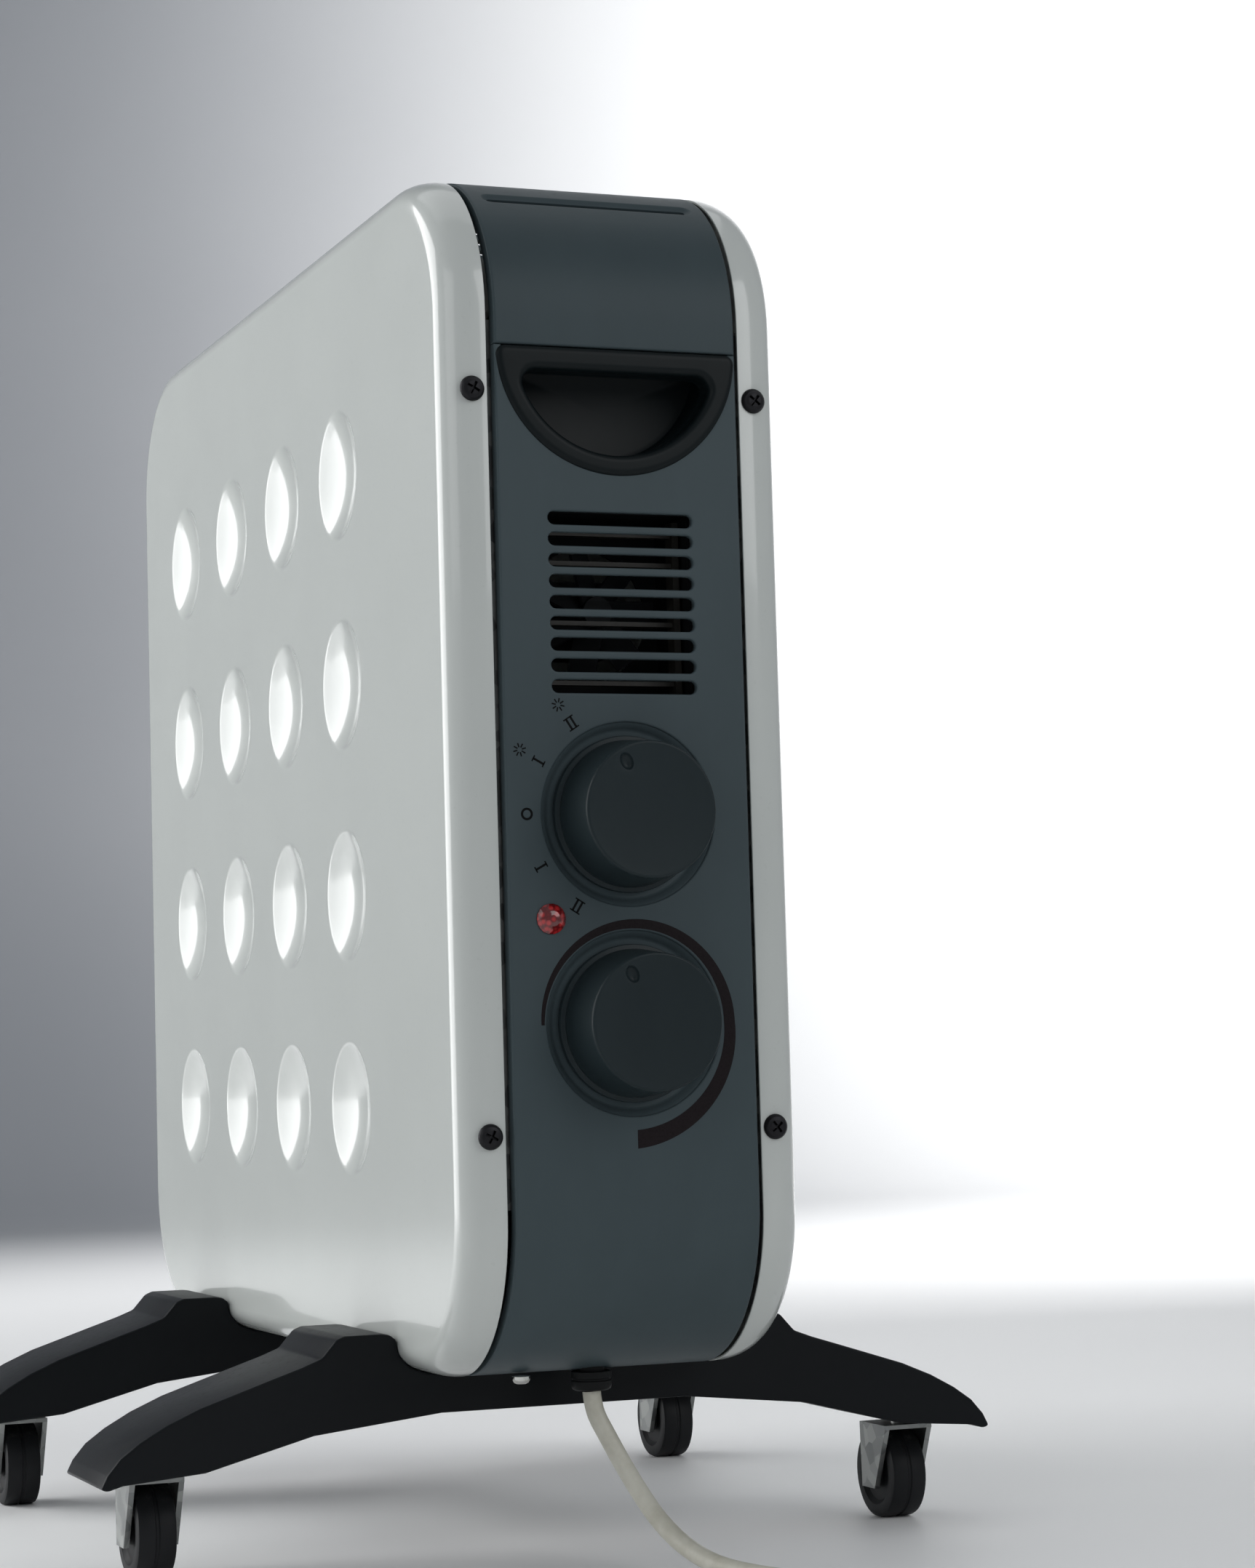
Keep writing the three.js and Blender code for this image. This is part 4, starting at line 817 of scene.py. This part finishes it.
def top_cover():
    shape = Shape()
    high = HIGH_FLAT + QUARTER + HOUSING_DEPTH - FACE - END_RADIUS
    loop, spare = sheet_loop(PART_LINE + 0.3 + EDGE, high - EDGE)
    slot_at = (0, HIGH_FLAT + END_RADIUS * math.radians(TOP_SLOT_TURN))
    slot = even_loop(slot_loop(slot_at, *TOP_SLOT_SIZE), 12)
    sink = [(-3.4, 0), (-3.0, 0), (-2.6, 0.12), (-1.6, 0.8), (-0.8, 1.15), (0, 1.5), (0, WALL + 0.01)]
    rims = [Rim(loop, lipped_path(EDGE, LIP), outline=True), Rim(slot, sink)]
    plate(shape, fold, rims, clear_of(spare, [slot], 5))
    return shape.piece("top_cover_shell", "base", COVER, ["top_cover"])


def rear_cover():
    shape = Shape()
    spread = REAR_DEPTH - FACE - END_RADIUS
    loop, spare = sheet_loop(LOW_FLAT - QUARTER - spread + EDGE, HIGH_FLAT + QUARTER + spread - EDGE)
    rims = [Rim(loop, lipped_path(EDGE, LIP), outline=True)]
    rims += [Rim(slot_loop(c, *VENT_SIZE), opening_path(VENT_EDGE)) for c in VENTS]

    def place(x, v, depth):
        a, b, c = fold(x, v, depth)
        return (-a, BODY_LENGTH - b, c)
    plate(shape, place, rims, clear_of(spare, [r.loop for r in rims[1:]], 3))
    return shape.piece("rear_shell", "base", CHARCOAL, ["rear_cover"])


control_housing()
top_cover()
rear_cover()


# ---- handle ----
HANDLE_RADIUS = 56.7
HANDLE_PROUD = 1.5
POCKET_RADIUS = 47.5
GRIP_HEIGHT = 10.4
HANDLE_CENTRE_DROP = 24


def handle():
    """The D shaped grip: a broad rounded rim, and a pocket undercut behind the finger bar."""
    shape = Shape()
    rim_loop = d_loop(HANDLE_RADIUS, 0.3, 4.2)
    pocket = d_loop(POCKET_RADIUS, GRIP_HEIGHT, 6)
    deep = d_loop(POCKET_RADIUS - 0.9, 3.2, 5)
    outer = [(-3.2, 0), (-2.4, 0.02), (-1.5, 0.2), (-0.7, 0.6), (-0.2, 1.1), (0, 1.6), (0, 2.6),
             (-3.2, 2.6), (-3.2, 30.5)]
    inner = rounded_edge(3.2, 7) + [(0.05, 6), (0.1, 9.6), (0.5, 10.3)]
    rims = [Rim(rim_loop, outer, outline=True), Rim(pocket, inner)]

    def place(x, v, depth):
        return (x, FACE - HANDLE_PROUD + depth, v)
    ids = {}
    loops = []
    for key, rim in zip(("rim", "pocket"), rims):
        rows = [shape.ring([place(x, v, depth) for x, v in rim.row(step)]) for step, depth in rim.path]
        for first, second in zip(rows, rows[1:]):
            shape.bridge(first, second)
        ids[key] = rows
        loops.append(rim.row(rim.path[0][0]))
    points, triangles = filled(loops)
    numbers = ids["rim"][0] + ids["pocket"][0]
    shape.faces.extend(tuple(numbers[i] for i in t) for t in triangles)
    # behind the finger bar the pocket opens upwards, then rounds into its floor
    rows = [ids["pocket"][-1]]
    for inset, depth in ((0, 11), (0, 23), (0.8, 25), (3, 26)):
        rows.append(shape.ring([place(x, v, depth) for x, v in moved_loop(deep, -inset)]))
    for first, second in zip(rows, rows[1:]):
        shape.bridge(first, second)
    shape.pole(rows[-1], place(0, PART_LINE - HANDLE_CENTRE_DROP, 26.3))
    shape.pole(ids["rim"][-1], place(0, PART_LINE - HANDLE_CENTRE_DROP, 30.9))
    return shape.piece("handle_grip", "base", HANDLE, ["handle_insert"], 30)


handle()


# ---- knobs ----
KNOB_FRONT = -31
KNOB_RADIUS = 29.0
KNOB_DISH = 0.9
THUMB_MARK_AT = 23.5
THUMB_MARK_TURN = 28
THUMB_MARK_HALF_WIDTH = 2.9
THUMB_MARK_HALF_LENGTH = 4.0


def knob(name, at_height, body, node):
    """A turned knob with a flange at its foot, a dished face and an oval thumb mark."""
    shape = Shape()
    outline_loop = circle((0, at_height), KNOB_RADIUS, 96)
    path = [(-0.5, 0.02), (0, 0), (0.45, 0.1), (0.8, 0.4), (1.05, 1.0), (1.2, 2), (1.35, 4), (2.3, 14),
            (3.3, 25.6), (3.5, 27.1), (3.35, 27.5), (3.35, 27.9), (3.7, 28.1), (4.8, 28.15), (5.35, 28.4),
            (5.6, 28.9), (5.6, 30.7), (5.3, 31), (-20, 31)]
    tilt = math.radians(THUMB_MARK_TURN)
    spot = Vector((-THUMB_MARK_AT * math.sin(tilt), at_height + THUMB_MARK_AT * math.cos(tilt)))
    aside = Vector((math.cos(tilt), math.sin(tilt))) * THUMB_MARK_HALF_WIDTH
    along = Vector((-math.sin(tilt), math.cos(tilt))) * THUMB_MARK_HALF_LENGTH
    oval = [tuple(spot + aside * x + along * y) for x, y in circle((0, 0), 1, 28)]
    mark = [(-0.35, 0), (-0.05, 0.05), (0.1, 0.3), (0.35, 1.0), (1.1, 1.75), (2.0, 2.1)]

    def place(x, z, depth):
        share = math.hypot(x, z - at_height) / KNOB_RADIUS
        dish = KNOB_DISH * (1 - min(1.0, share) ** 2) if depth < 20 else 0
        return (x, KNOB_FRONT + depth + dish, z)
    spare = [p for r in (6, 12, 17, 19.5, 25.5) for p in circle((0, at_height), r, 40)] + [(0, at_height)]
    spare = clear_of(spare, [oval], 0.8)
    rims = [Rim(outline_loop, path, outline=True), Rim(oval, mark, 2.15)]
    plate(shape, place, rims, spare, [(0, at_height)])
    return shape.piece(name, body, KNOB, [node], 34)


knob("upper_knob", SELECTOR_AT.z, "selector", "selector_knob")
knob("lower_knob", THERMOSTAT_AT.z, "thermostat", "thermostat_knob")


# ---- feet ----
SADDLE_TOP = 18.5
SADDLE_OUTER = 107
FOOT_DEPTH = 73
PAD_HALF = 48.1
FOOT_AT = {"front": 97, "rear": BODY_LENGTH - 97 - FOOT_DEPTH}
ARM_TOP = [(9, 9), (18, 5.6), (33, 0.8), (49, -4.4), (65, -9.6), (80, -16), (92, -22.6), (101, -29),
           (107, -36)]
ARM_UNDERSIDE = [(100, -41), (63, -38), (13, -25), (-47, -18.5)]


def foot_loop():
    """A foot's outline in X and height above the body's underside."""
    side = [(HALF_WIDTH + 0.7, SADDLE_TOP - 3), (HALF_WIDTH + 0.7, ROLL_DEPTH)]
    for degrees in (20, 45, 70, 88):
        a = math.radians(degrees)
        side.append((HALF_WIDTH - ROLL_WIDTH * (1 - math.cos(a)) + 0.7 * math.cos(a),
                     ROLL_DEPTH * (1 - math.sin(a)) - 0.7 * math.sin(a)))
    half = side[::-1] + [(HALF_WIDTH + 4, SADDLE_TOP - 0.5), (HALF_WIDTH + 8, SADDLE_TOP),
                         (SADDLE_OUTER - 2, SADDLE_TOP), (SADDLE_OUTER + 2, SADDLE_TOP - 1.6),
                         (SADDLE_OUTER + 5, SADDLE_TOP - 5)]
    half += [(SADDLE_OUTER + out, height) for out, height in ARM_TOP]
    half += [(217, -42), (214, -43)] + [(SADDLE_OUTER + out, height) for out, height in ARM_UNDERSIDE]
    whole = half + [(-x, z) for x, z in reversed(half)]
    whole = [(x, BOTTOM + z) for x, z in whole]
    return softened(whole[::-1], 5, 4, 14)


def foot(end):
    start = FOOT_AT[end]
    shape = Shape()
    edge = rounded_edge(0.9, 4, 0.15)
    path = edge + [(step, FOOT_DEPTH - depth) for step, depth in reversed(edge)]
    plate(shape, lambda x, z, depth: (x, start + depth, z), [Rim(foot_loop(), path, outline=True)])
    pad_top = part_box(end + "_foot")[1].z * 1000
    front = max(start + 8, HOUSING_DEPTH + 2)
    back = min(start + FOOT_DEPTH - 8, BODY_LENGTH - REAR_DEPTH - 2)
    pad = Shape()
    pad_loop = rounded_box((-PAD_HALF, front), (PAD_HALF, back), 6)
    rounded = rounded_edge(2, 4, 0.6)
    tall = pad_top - BOTTOM + 3
    plate(pad, lambda x, y, depth: (x, y, pad_top - depth),
          [Rim(pad_loop, rounded + [(0, tall)], outline=True)])
    offset = len(shape.points)
    shape.points += pad.points
    shape.faces += [tuple(i + offset for i in face) for face in pad.faces]
    return shape.piece(end + "_foot_moulding", "base", FOOT, [end + "_foot"], 30)


foot("front")
foot("rear")


# ---- casters ----
def caster_wheel(corner):
    centre = middle(corner + "_caster_wheel")
    low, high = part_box(corner + "_caster_wheel")
    half = (high.x - low.x) * 500
    radius = centre.z - 0.02
    shape = Shape()
    profile = [(3.3, -half), (5.5, -half), (6, -half + 0.6), (6.6, -half + 1.6), (13.5, -half + 1.9),
               (15, -half + 0.7), (15.6, -half), (radius - 1.8, -half), (radius - 0.6, -half + 0.5),
               (radius, -half + 1.8), (radius, -1.1), (radius - 0.6, -0.6), (radius - 0.6, 0.6),
               (radius, 1.1)]
    profile += [(r, -x) for r, x in profile[9::-1]]
    profile.append(profile[0])
    turned(shape, profile, centre, (1, 0, 0), 56)
    return shape.piece(corner + "_wheel", corner + "_wheel", WHEEL,
                       [corner + "_caster_wheel"], 30)


for corner in ("front_left", "front_right", "rear_left", "rear_right"):
    caster_wheel(corner)


# ---- screws ----
class Grove:
    """A Geometry Nodes tree, built one node at a time."""

    def __init__(self, name, sizes):
        self.tree = bpy.data.node_groups.new(name, "GeometryNodeTree")
        self.tree.interface.new_socket("Geometry", in_out="INPUT", socket_type="NodeSocketGeometry")
        self.ids = {}
        for label, (kind, value) in sizes.items():
            made = self.tree.interface.new_socket(label, in_out="INPUT", socket_type="NodeSocket" + kind)
            made.default_value = value
            self.ids[label] = made.identifier
        self.tree.interface.new_socket("Geometry", in_out="OUTPUT", socket_type="NodeSocketGeometry")
        self.way_in = self.tree.nodes.new("NodeGroupInput")
        self.way_out = self.tree.nodes.new("NodeGroupOutput")

    def node(self, kind, settings=None, values=None, output=0):
        made = self.tree.nodes.new(kind)
        for name, value in (settings or {}).items():
            setattr(made, name, value)
        for name, value in (values or {}).items():
            if isinstance(value, bpy.types.NodeSocket):
                self.tree.links.new(value, made.inputs[name])
            else:
                made.inputs[name].default_value = value
        return made.outputs[output]

    def given(self, label):
        return self.way_in.outputs[label]

    def grown(self, host, finish, result, values=None):
        """The tree's result on a host mesh, as a plain mesh."""
        real = self.node("GeometryNodeRealizeInstances", {}, {"Geometry": result})
        done = self.node("GeometryNodeSetMaterial", {}, {"Geometry": real, "Material": finish.material})
        self.tree.links.new(done, self.way_out.inputs[0])
        modifier = host.modifiers.new("grow", "NODES")
        modifier.node_group = self.tree
        for label, value in (values or {}).items():
            modifier[self.ids[label]] = value
        graph = bpy.context.evaluated_depsgraph_get()
        mesh = bpy.data.meshes.new_from_object(host.evaluated_get(graph))
        host.modifiers.remove(modifier)
        bpy.data.objects.remove(host)
        return mesh


def loose(name, shape):
    """A working mesh that takes no part in the finished object."""
    mesh = bpy.data.meshes.new(name)
    mesh.from_pydata([Vector(p) / 1000 for p in shape.points], [], shape.faces)
    work = bmesh.new()
    work.from_mesh(mesh)
    bmesh.ops.remove_doubles(work, verts=work.verts, dist=1e-6)
    bmesh.ops.recalc_face_normals(work, faces=work.faces)
    work.to_mesh(mesh)
    work.free()
    mesh.shade_smooth()
    made = bpy.data.objects.new(name, mesh)
    bpy.context.scene.collection.objects.link(made)
    return made


def cross_head(radius, height, reach, half, length):
    """A domed screw with a tapered cross, its axis along Y and its seat at 0."""
    shape = Shape()
    cross = [(half, half), (half, reach), (-half, reach), (-half, half), (-reach, half), (-reach, -half),
             (-half, -half), (-half, -reach), (half, -reach), (half, -half), (reach, -half), (reach, half)]
    cross = softened(cross, 0.25, 2, 40)
    head = circle((0, 0), radius * 0.62, 40)
    path = [(-0.5, 0.05), (0, 0.25), (radius * 0.16, height * 0.24), (radius * 0.28, height * 0.5),
            (radius * 0.36, height * 0.8), (radius * 0.38, height), (2 - radius * 0.62, height),
            (2 - radius * 0.62, height + length)]
    slot = [(-0.1, 0), (0, 0.08), (0.12, 1.0), (0.3, 1.7)]

    def place(x, z, depth):
        dome = 0.5 * (math.hypot(x, z) / radius) ** 2 if depth < 0.3 else 0
        return (x, depth + dome - height, z)
    rims = [Rim(head, path, outline=True), Rim(cross, slot, 1.75)]
    plate(shape, place, rims, circle((0, 0), radius * 0.5, 24))
    return loose("screw_pattern", shape)


SCREW_GAP = 0.15


def screw_set(name, nodes, turn_seed):
    """Screws at their places, each turned to its own angle, on one small mesh of places."""
    pattern = cross_head(5.65, 2.6, 3, 0.55, 9.5)
    spots = []
    for node in nodes:
        centre = middle(node)
        front = centre.y < BODY_LENGTH / 2
        spots.append(at(centre.x, -SCREW_GAP if front else BODY_LENGTH + SCREW_GAP, centre.z))
    mesh = bpy.data.meshes.new("screw_places")
    mesh.from_pydata(spots, [], [])
    facing = mesh.attributes.new("facing", "FLOAT", "POINT")
    facing.data.foreach_set("value", [0.0 if spot.y < FRONT + 0.1 else math.pi for spot in spots])
    host = bpy.data.objects.new("screw_places", mesh)
    bpy.context.scene.collection.objects.link(host)
    grove = Grove(name, {"Turn": ("Float", 0.4), "Seed": ("Int", 3)})
    info = grove.node("GeometryNodeObjectInfo", {}, {"Object": pattern}, 4)
    turn = grove.node("FunctionNodeRandomValue", {"data_type": "FLOAT"}, {"Seed": grove.given("Seed")}, 1)
    swing = grove.node("ShaderNodeMath", {"operation": "MULTIPLY"}, {0: turn, 1: grove.given("Turn")})
    side = grove.node("GeometryNodeInputNamedAttribute", {"data_type": "FLOAT"}, {"Name": "facing"})
    spin = grove.node("ShaderNodeCombineXYZ", {}, {"Y": swing})
    about = grove.node("ShaderNodeCombineXYZ", {}, {"Z": side})
    first = grove.node("FunctionNodeEulerToRotation", {}, {0: spin})
    second = grove.node("FunctionNodeEulerToRotation", {}, {0: about})
    both = grove.node("FunctionNodeRotateRotation", {}, {0: first, 1: second})
    placed = grove.node("GeometryNodeInstanceOnPoints", {}, {
        "Points": grove.given("Geometry"), "Instance": info, "Rotation": both})
    result = grove.grown(host, SCREW, placed, {"Turn": 0.9, "Seed": turn_seed})
    bpy.data.objects.remove(pattern)
    settle(name, result, "base", SCREW, nodes, 30)


flange_screws = [f"{end}_flange_screw_{i}" for end in ("front", "rear") for i in (1, 2, 3, 4)]
screw_set("flange_screws", flange_screws, 5)


def chrome_screw():
    centre = middle("underside_screw")
    shape = Shape()
    low = BOTTOM - 0.3
    profile = [(0, -1.6), (0.9, -1.75), (1.3, -3.1), (2.2, -3.35), (3.3, -2.8), (4.0, -1.6), (4.2, -0.6),
               (4.2, 0), (0, 0)]
    turned(shape, profile, (centre.x, centre.y, low), (0, 0, 1), 36)
    shape.piece("chrome_screw", "base", CHROME, ["underside_screw"], 40)


chrome_screw()


# ---- indicator ----
LENS_SIDES = 18
LENS_STEM_RADIUS = 5.45
LENS_TIP = -6.2
LENS_BACK = 9
# rings of the dome, as radius, Y, and turn in steps
LENS_RINGS = [
    (6.75, -3.3, 0), (6.7, -3.6, 0), (6.2, -4.1, 0),
    (5.0, -5.1, 0.5), (3.4, -5.8, 0), (1.6, -6.15, 0.5),
]


def indicator():
    """A red dome cut in facets, on a thin collar."""
    shape = Shape()

    def cut_ring(radius, y, phase=0.0):
        turns = [2 * math.pi * (k + phase) / LENS_SIDES for k in range(LENS_SIDES)]
        return shape.ring([
            (LENS_AT.x + radius * math.cos(a), y, LENS_AT.z + radius * math.sin(a)) for a in turns])
    rows = [cut_ring(*ring) for ring in LENS_RINGS]
    stem = [cut_ring(LENS_STEM_RADIUS, y) for y in (LENS_RINGS[0][1], LENS_BACK)]
    for first, second in zip([stem[1], stem[0]] + rows, [stem[0]] + rows):
        shape.bridge(first, second)
    shape.pole(rows[-1], (LENS_AT.x, LENS_TIP, LENS_AT.z))
    shape.pole(stem[1], (LENS_AT.x, LENS_BACK, LENS_AT.z))
    shape.piece("indicator", "base", LENS, ["indicator_lens"], 8)


indicator()


# ---- printed marks ----
PRINT_PROUD = 0.08
MARK_RADIUS = 47.5
MARK_HEIGHT = 5.4
STROKE_PITCH = 2.3
THICK_STROKE = 0.95
THIN_STROKE = 0.6
STAR_RADIUS = 57.4


def print_patch(shape, loop):
    """A thin raised patch of ink on the housing's face."""
    rows = [shape.ring([fold(x, z, depth) for x, z in loop]) for depth in (0.0, -PRINT_PROUD)]
    shape.bridge(*rows)
    points, triangles = filled([loop])
    for row in rows:
        shape.faces.extend(tuple(row[i] for i in t) for t in triangles)


def about_knob(centre_z, radius, turn):
    """A place at an angle anticlockwise from the top of a knob, with the way out and across."""
    a = math.radians(turn)
    out = Vector((-math.sin(a), math.cos(a)))
    across = Vector((math.cos(a), math.sin(a)))
    return Vector((0, centre_z)) + out * radius, out, across


def bar(shape, centre, along, across, length, width):
    half_a, half_b = along * (length / 2), across * (width / 2)
    corners = ((-1, -1), (-1, 1), (1, 1), (1, -1))
    print_patch(shape, [tuple(centre + half_a * a + half_b * b) for a, b in corners])


def numeral(shape, turn, strokes):
    spot, out, across = about_knob(SELECTOR_AT.z, MARK_RADIUS, turn)
    for i in range(strokes):
        place = spot + across * ((i - (strokes - 1) / 2) * STROKE_PITCH)
        bar(shape, place, out, across, MARK_HEIGHT, THICK_STROKE)
    for end in (-1, 1):
        foot_at = spot + out * (end * MARK_HEIGHT / 2)
        bar(shape, foot_at, across, out, STROKE_PITCH * strokes + 0.5, THIN_STROKE)


def band(shape, centre, inner, outer, start, end, steps):
    """A curved patch whose inner and outer radii may change along it."""
    angles = [math.radians(90 + start + (end - start) * i / steps) for i in range(steps + 1)]
    shares = [i / steps for i in range(steps + 1)]
    inside = [(centre[0] + inner(s) * math.cos(a), centre[1] + inner(s) * math.sin(a))
              for a, s in zip(angles, shares)]
    outside = [(centre[0] + outer(s) * math.cos(a), centre[1] + outer(s) * math.sin(a))
               for a, s in zip(angles, shares)]
    print_patch(shape, outside + inside[::-1])


def star(shape, turn):
    spot, out, across = about_knob(SELECTOR_AT.z, STAR_RADIUS, turn)
    for i in range(8):
        a = math.radians(45 * i)
        ray = out * math.cos(a) + across * math.sin(a)
        aside = out * -math.sin(a) + across * math.cos(a)
        bar(shape, spot + ray * 2.05, ray, aside, 1.9, THIN_STROKE)


def selector_marks():
    shape = Shape()
    for turn, strokes in ((33, 2), (61, 1), (119, 1), (148, 2)):
        numeral(shape, turn, strokes)
    spot, _, _ = about_knob(SELECTOR_AT.z, MARK_RADIUS, 90)
    for start in (0, 180):
        band(shape, tuple(spot), lambda s: 1.75, lambda s: 2.75, start, start + 180, 16)
    for turn in (33.6, 60.8):
        star(shape, turn)
    shape.piece("selector_marks", "base", PRINT_LINE, (), 30)


def heat_crescent():
    """A printed crescent round the lower knob, widening towards its warm end."""
    shape = Shape()
    inner = [(0, 46.5), (90, 42.3), (180, 41.4), (270, 41.8)]
    outer = [(0, 54.6), (90, 47.5), (180, 45.5), (270, 43.3)]

    def between(table):
        turns, radii = zip(*table)
        return lambda s: float(np.interp(s * 270, turns, radii))
    band(shape, (0, THERMOSTAT_AT.z), between(inner), between(outer), -180, 90, 90)
    shape.piece("heat_crescent", "base", PRINT, (), 30)


selector_marks()
heat_crescent()


# ---- cord, plug and tie ----
def build_cord():
    line = [at(*p) for p in cord_line]
    sides = 14
    radius = CORD_THICK / 2000
    ahead = [(line[min(i + 1, len(line) - 1)] - line[max(i - 1, 0)]).normalized() for i in range(len(line))]
    across = ahead[0].orthogonal().normalized()
    points, faces = [], []
    for i, (place, way) in enumerate(zip(line, ahead)):
        across = (across - way * across.dot(way)).normalized()
        aside = way.cross(across)
        points += [place + across * (radius * math.cos(2 * math.pi * k / sides))
                   + aside * (radius * math.sin(2 * math.pi * k / sides)) for k in range(sides)]
        if i:
            a, b = (i - 1) * sides, i * sides
            faces += [(a + k, a + (k + 1) % sides, b + (k + 1) % sides, b + k) for k in range(sides)]
    faces += [tuple(range(sides))[::-1], tuple(range(len(points) - sides, len(points)))]
    mesh = bpy.data.meshes.new("mains_cord")
    mesh.from_pydata(points, [], faces)
    work = bmesh.new()
    work.from_mesh(mesh)
    bmesh.ops.recalc_face_normals(work, faces=work.faces)
    work.to_mesh(mesh)
    work.free()
    cord = settle("mains_cord", mesh, "base", SHEATH, ["power_cord", "cord_coil", "cord_tail"])


build_cord()


GROMMET_DROP = 9


def cord_grommet():
    centre = middle("cord_grommet")
    shape = Shape()
    low = BOTTOM - GROMMET_DROP
    profile = [(0, 3), (4.4, 3), (4.4, 0.8), (4.8, 0.15), (5.6, 0), (7.6, 0.05), (8.5, 0.5), (9.0, 1.3),
               (9.2, 2.4), (9.2, 4.2), (8.6, 4.6), (8.6, 5.2), (9.2, 5.6), (9.2, 8.4), (8.9, 8.7),
               (6.5, 8.7), (6.5, 15), (5.4, 27), (0, 27)]
    turned(shape, profile, (centre.x, centre.y, low), (0, 0, 1), 44)
    shape.piece("cord_bushing", "base", GROMMET, ["cord_grommet"], 34)


cord_grommet()


# ---- finishes on the parts that keep their CAD shape ----
KEPT = {
    "front_frame": STEEL, "rear_frame": STEEL, "selector_shaft": CHROME, "thermostat_shaft": CHROME,
    "rotary_switch": PHENOLIC, "thermostat_body": PHENOLIC, "neon_lamp": LAMP, "fan_duct": DARK,
    "fan_heating_coil": MICA_DARK, "fan_impeller": DARK, "fan_motor": DARK, "terminal_block": PHENOLIC,
    "thermal_cutout": STEEL, "immersion_element": STEEL, "filler_plug": STEEL, "top_grille": CHARCOAL,
    "coil_tie": GROMMET, "plug": SHEATH,
}
for node, made in frame["nodes"].items():
    finish = KEPT.get(node)
    if node.startswith("oil_element"):
        finish = OIL_ENAMEL
    if node.endswith("_caster_fork"):
        finish = STEEL
    if finish:
        for place in made.material_slots:
            place.material = finish.material


# ---- floor and light ----
def floor_finish(name):
    finish = Finish(name, (226, 226, 224), 0.55)
    cloud = finish.noise(400, 2)
    across = finish.node("SeparateXYZ", {}, {0: finish.places}, 0)
    far = finish.node("SeparateXYZ", {}, {0: finish.places}, 1)
    shaded = (1 - across.ramp(0.5, 2.9)) * far.ramp(1.6, 3.4)
    finish.put("Base Color", finish.blend(shaded, shade((248, 248, 248)), shade((118, 121, 126))))
    finish.put("Roughness", cloud * 0.1 + 0.5)
    return finish


def studio_floor():
    shape = Shape()
    sweep, back, top = 900, 3400, 5200
    turns = [math.pi / 2 * i / 16 for i in range(17)]
    rows = [(-3000, 0)] + [(back + sweep * math.sin(a), sweep * (1 - math.cos(a))) for a in turns]
    rows.append((back + sweep, top))
    ids = [shape.ring([(x, y, z) for x in (-5000, 7000)]) for y, z in rows]
    for first, second in zip(ids, ids[1:]):
        shape.faces.append((first[0], first[1], second[1], second[0]))
    mesh = bpy.data.meshes.new("studio_floor")
    mesh.from_pydata([at(*p) for p in shape.points], [], shape.faces)
    mesh.shade_smooth()
    mesh.materials.append(floor_finish("pale floor").material)
    made = bpy.data.objects.new("studio_floor", mesh)
    bpy.context.scene.collection.objects.link(made)


studio_floor()


def softbox(name, azimuth, height, distance, width, tall, power, target=(0, 0.15, 0.35)):
    """A soft light that stands at an azimuth from +Y towards +X, facing the heater."""
    turn = math.radians(azimuth)
    place = Vector((math.sin(turn) * distance, math.cos(turn) * distance, height))
    data = bpy.data.lights.new(name, "AREA")
    data.shape = "RECTANGLE"
    data.size = width
    data.size_y = tall
    data.energy = power
    light = bpy.data.objects.new(name, data)
    bpy.context.scene.collection.objects.link(light)
    light.matrix_world = (Matrix.Translation(place)
                          @ (Vector(target) - place).to_track_quat("-Z", "Y").to_matrix().to_4x4())


softbox("behind_left", -58, 1.0, 2.6, 2.2, 3.0, 80)
softbox("front_left", -128, 1.6, 2.8, 1.4, 1.6, 7)
softbox("front_right", 152, 1.7, 2.8, 1.8, 1.8, 19)
softbox("above", 10, 3.0, 0.6, 2.4, 2.0, 7)
softbox("backdrop_glow", 60, 2.0, 2.6, 2.0, 2.4, 105, (2.8, 4.3, 1.0))

world = bpy.data.worlds.new("studio")
bpy.context.scene.world = world
world.use_nodes = True
world.node_tree.nodes["Background"].inputs["Color"].default_value = (0.90, 0.95, 1.0, 1)
world.node_tree.nodes["Background"].inputs["Strength"].default_value = 0.30
bpy.context.scene.view_settings.view_transform = "Standard"
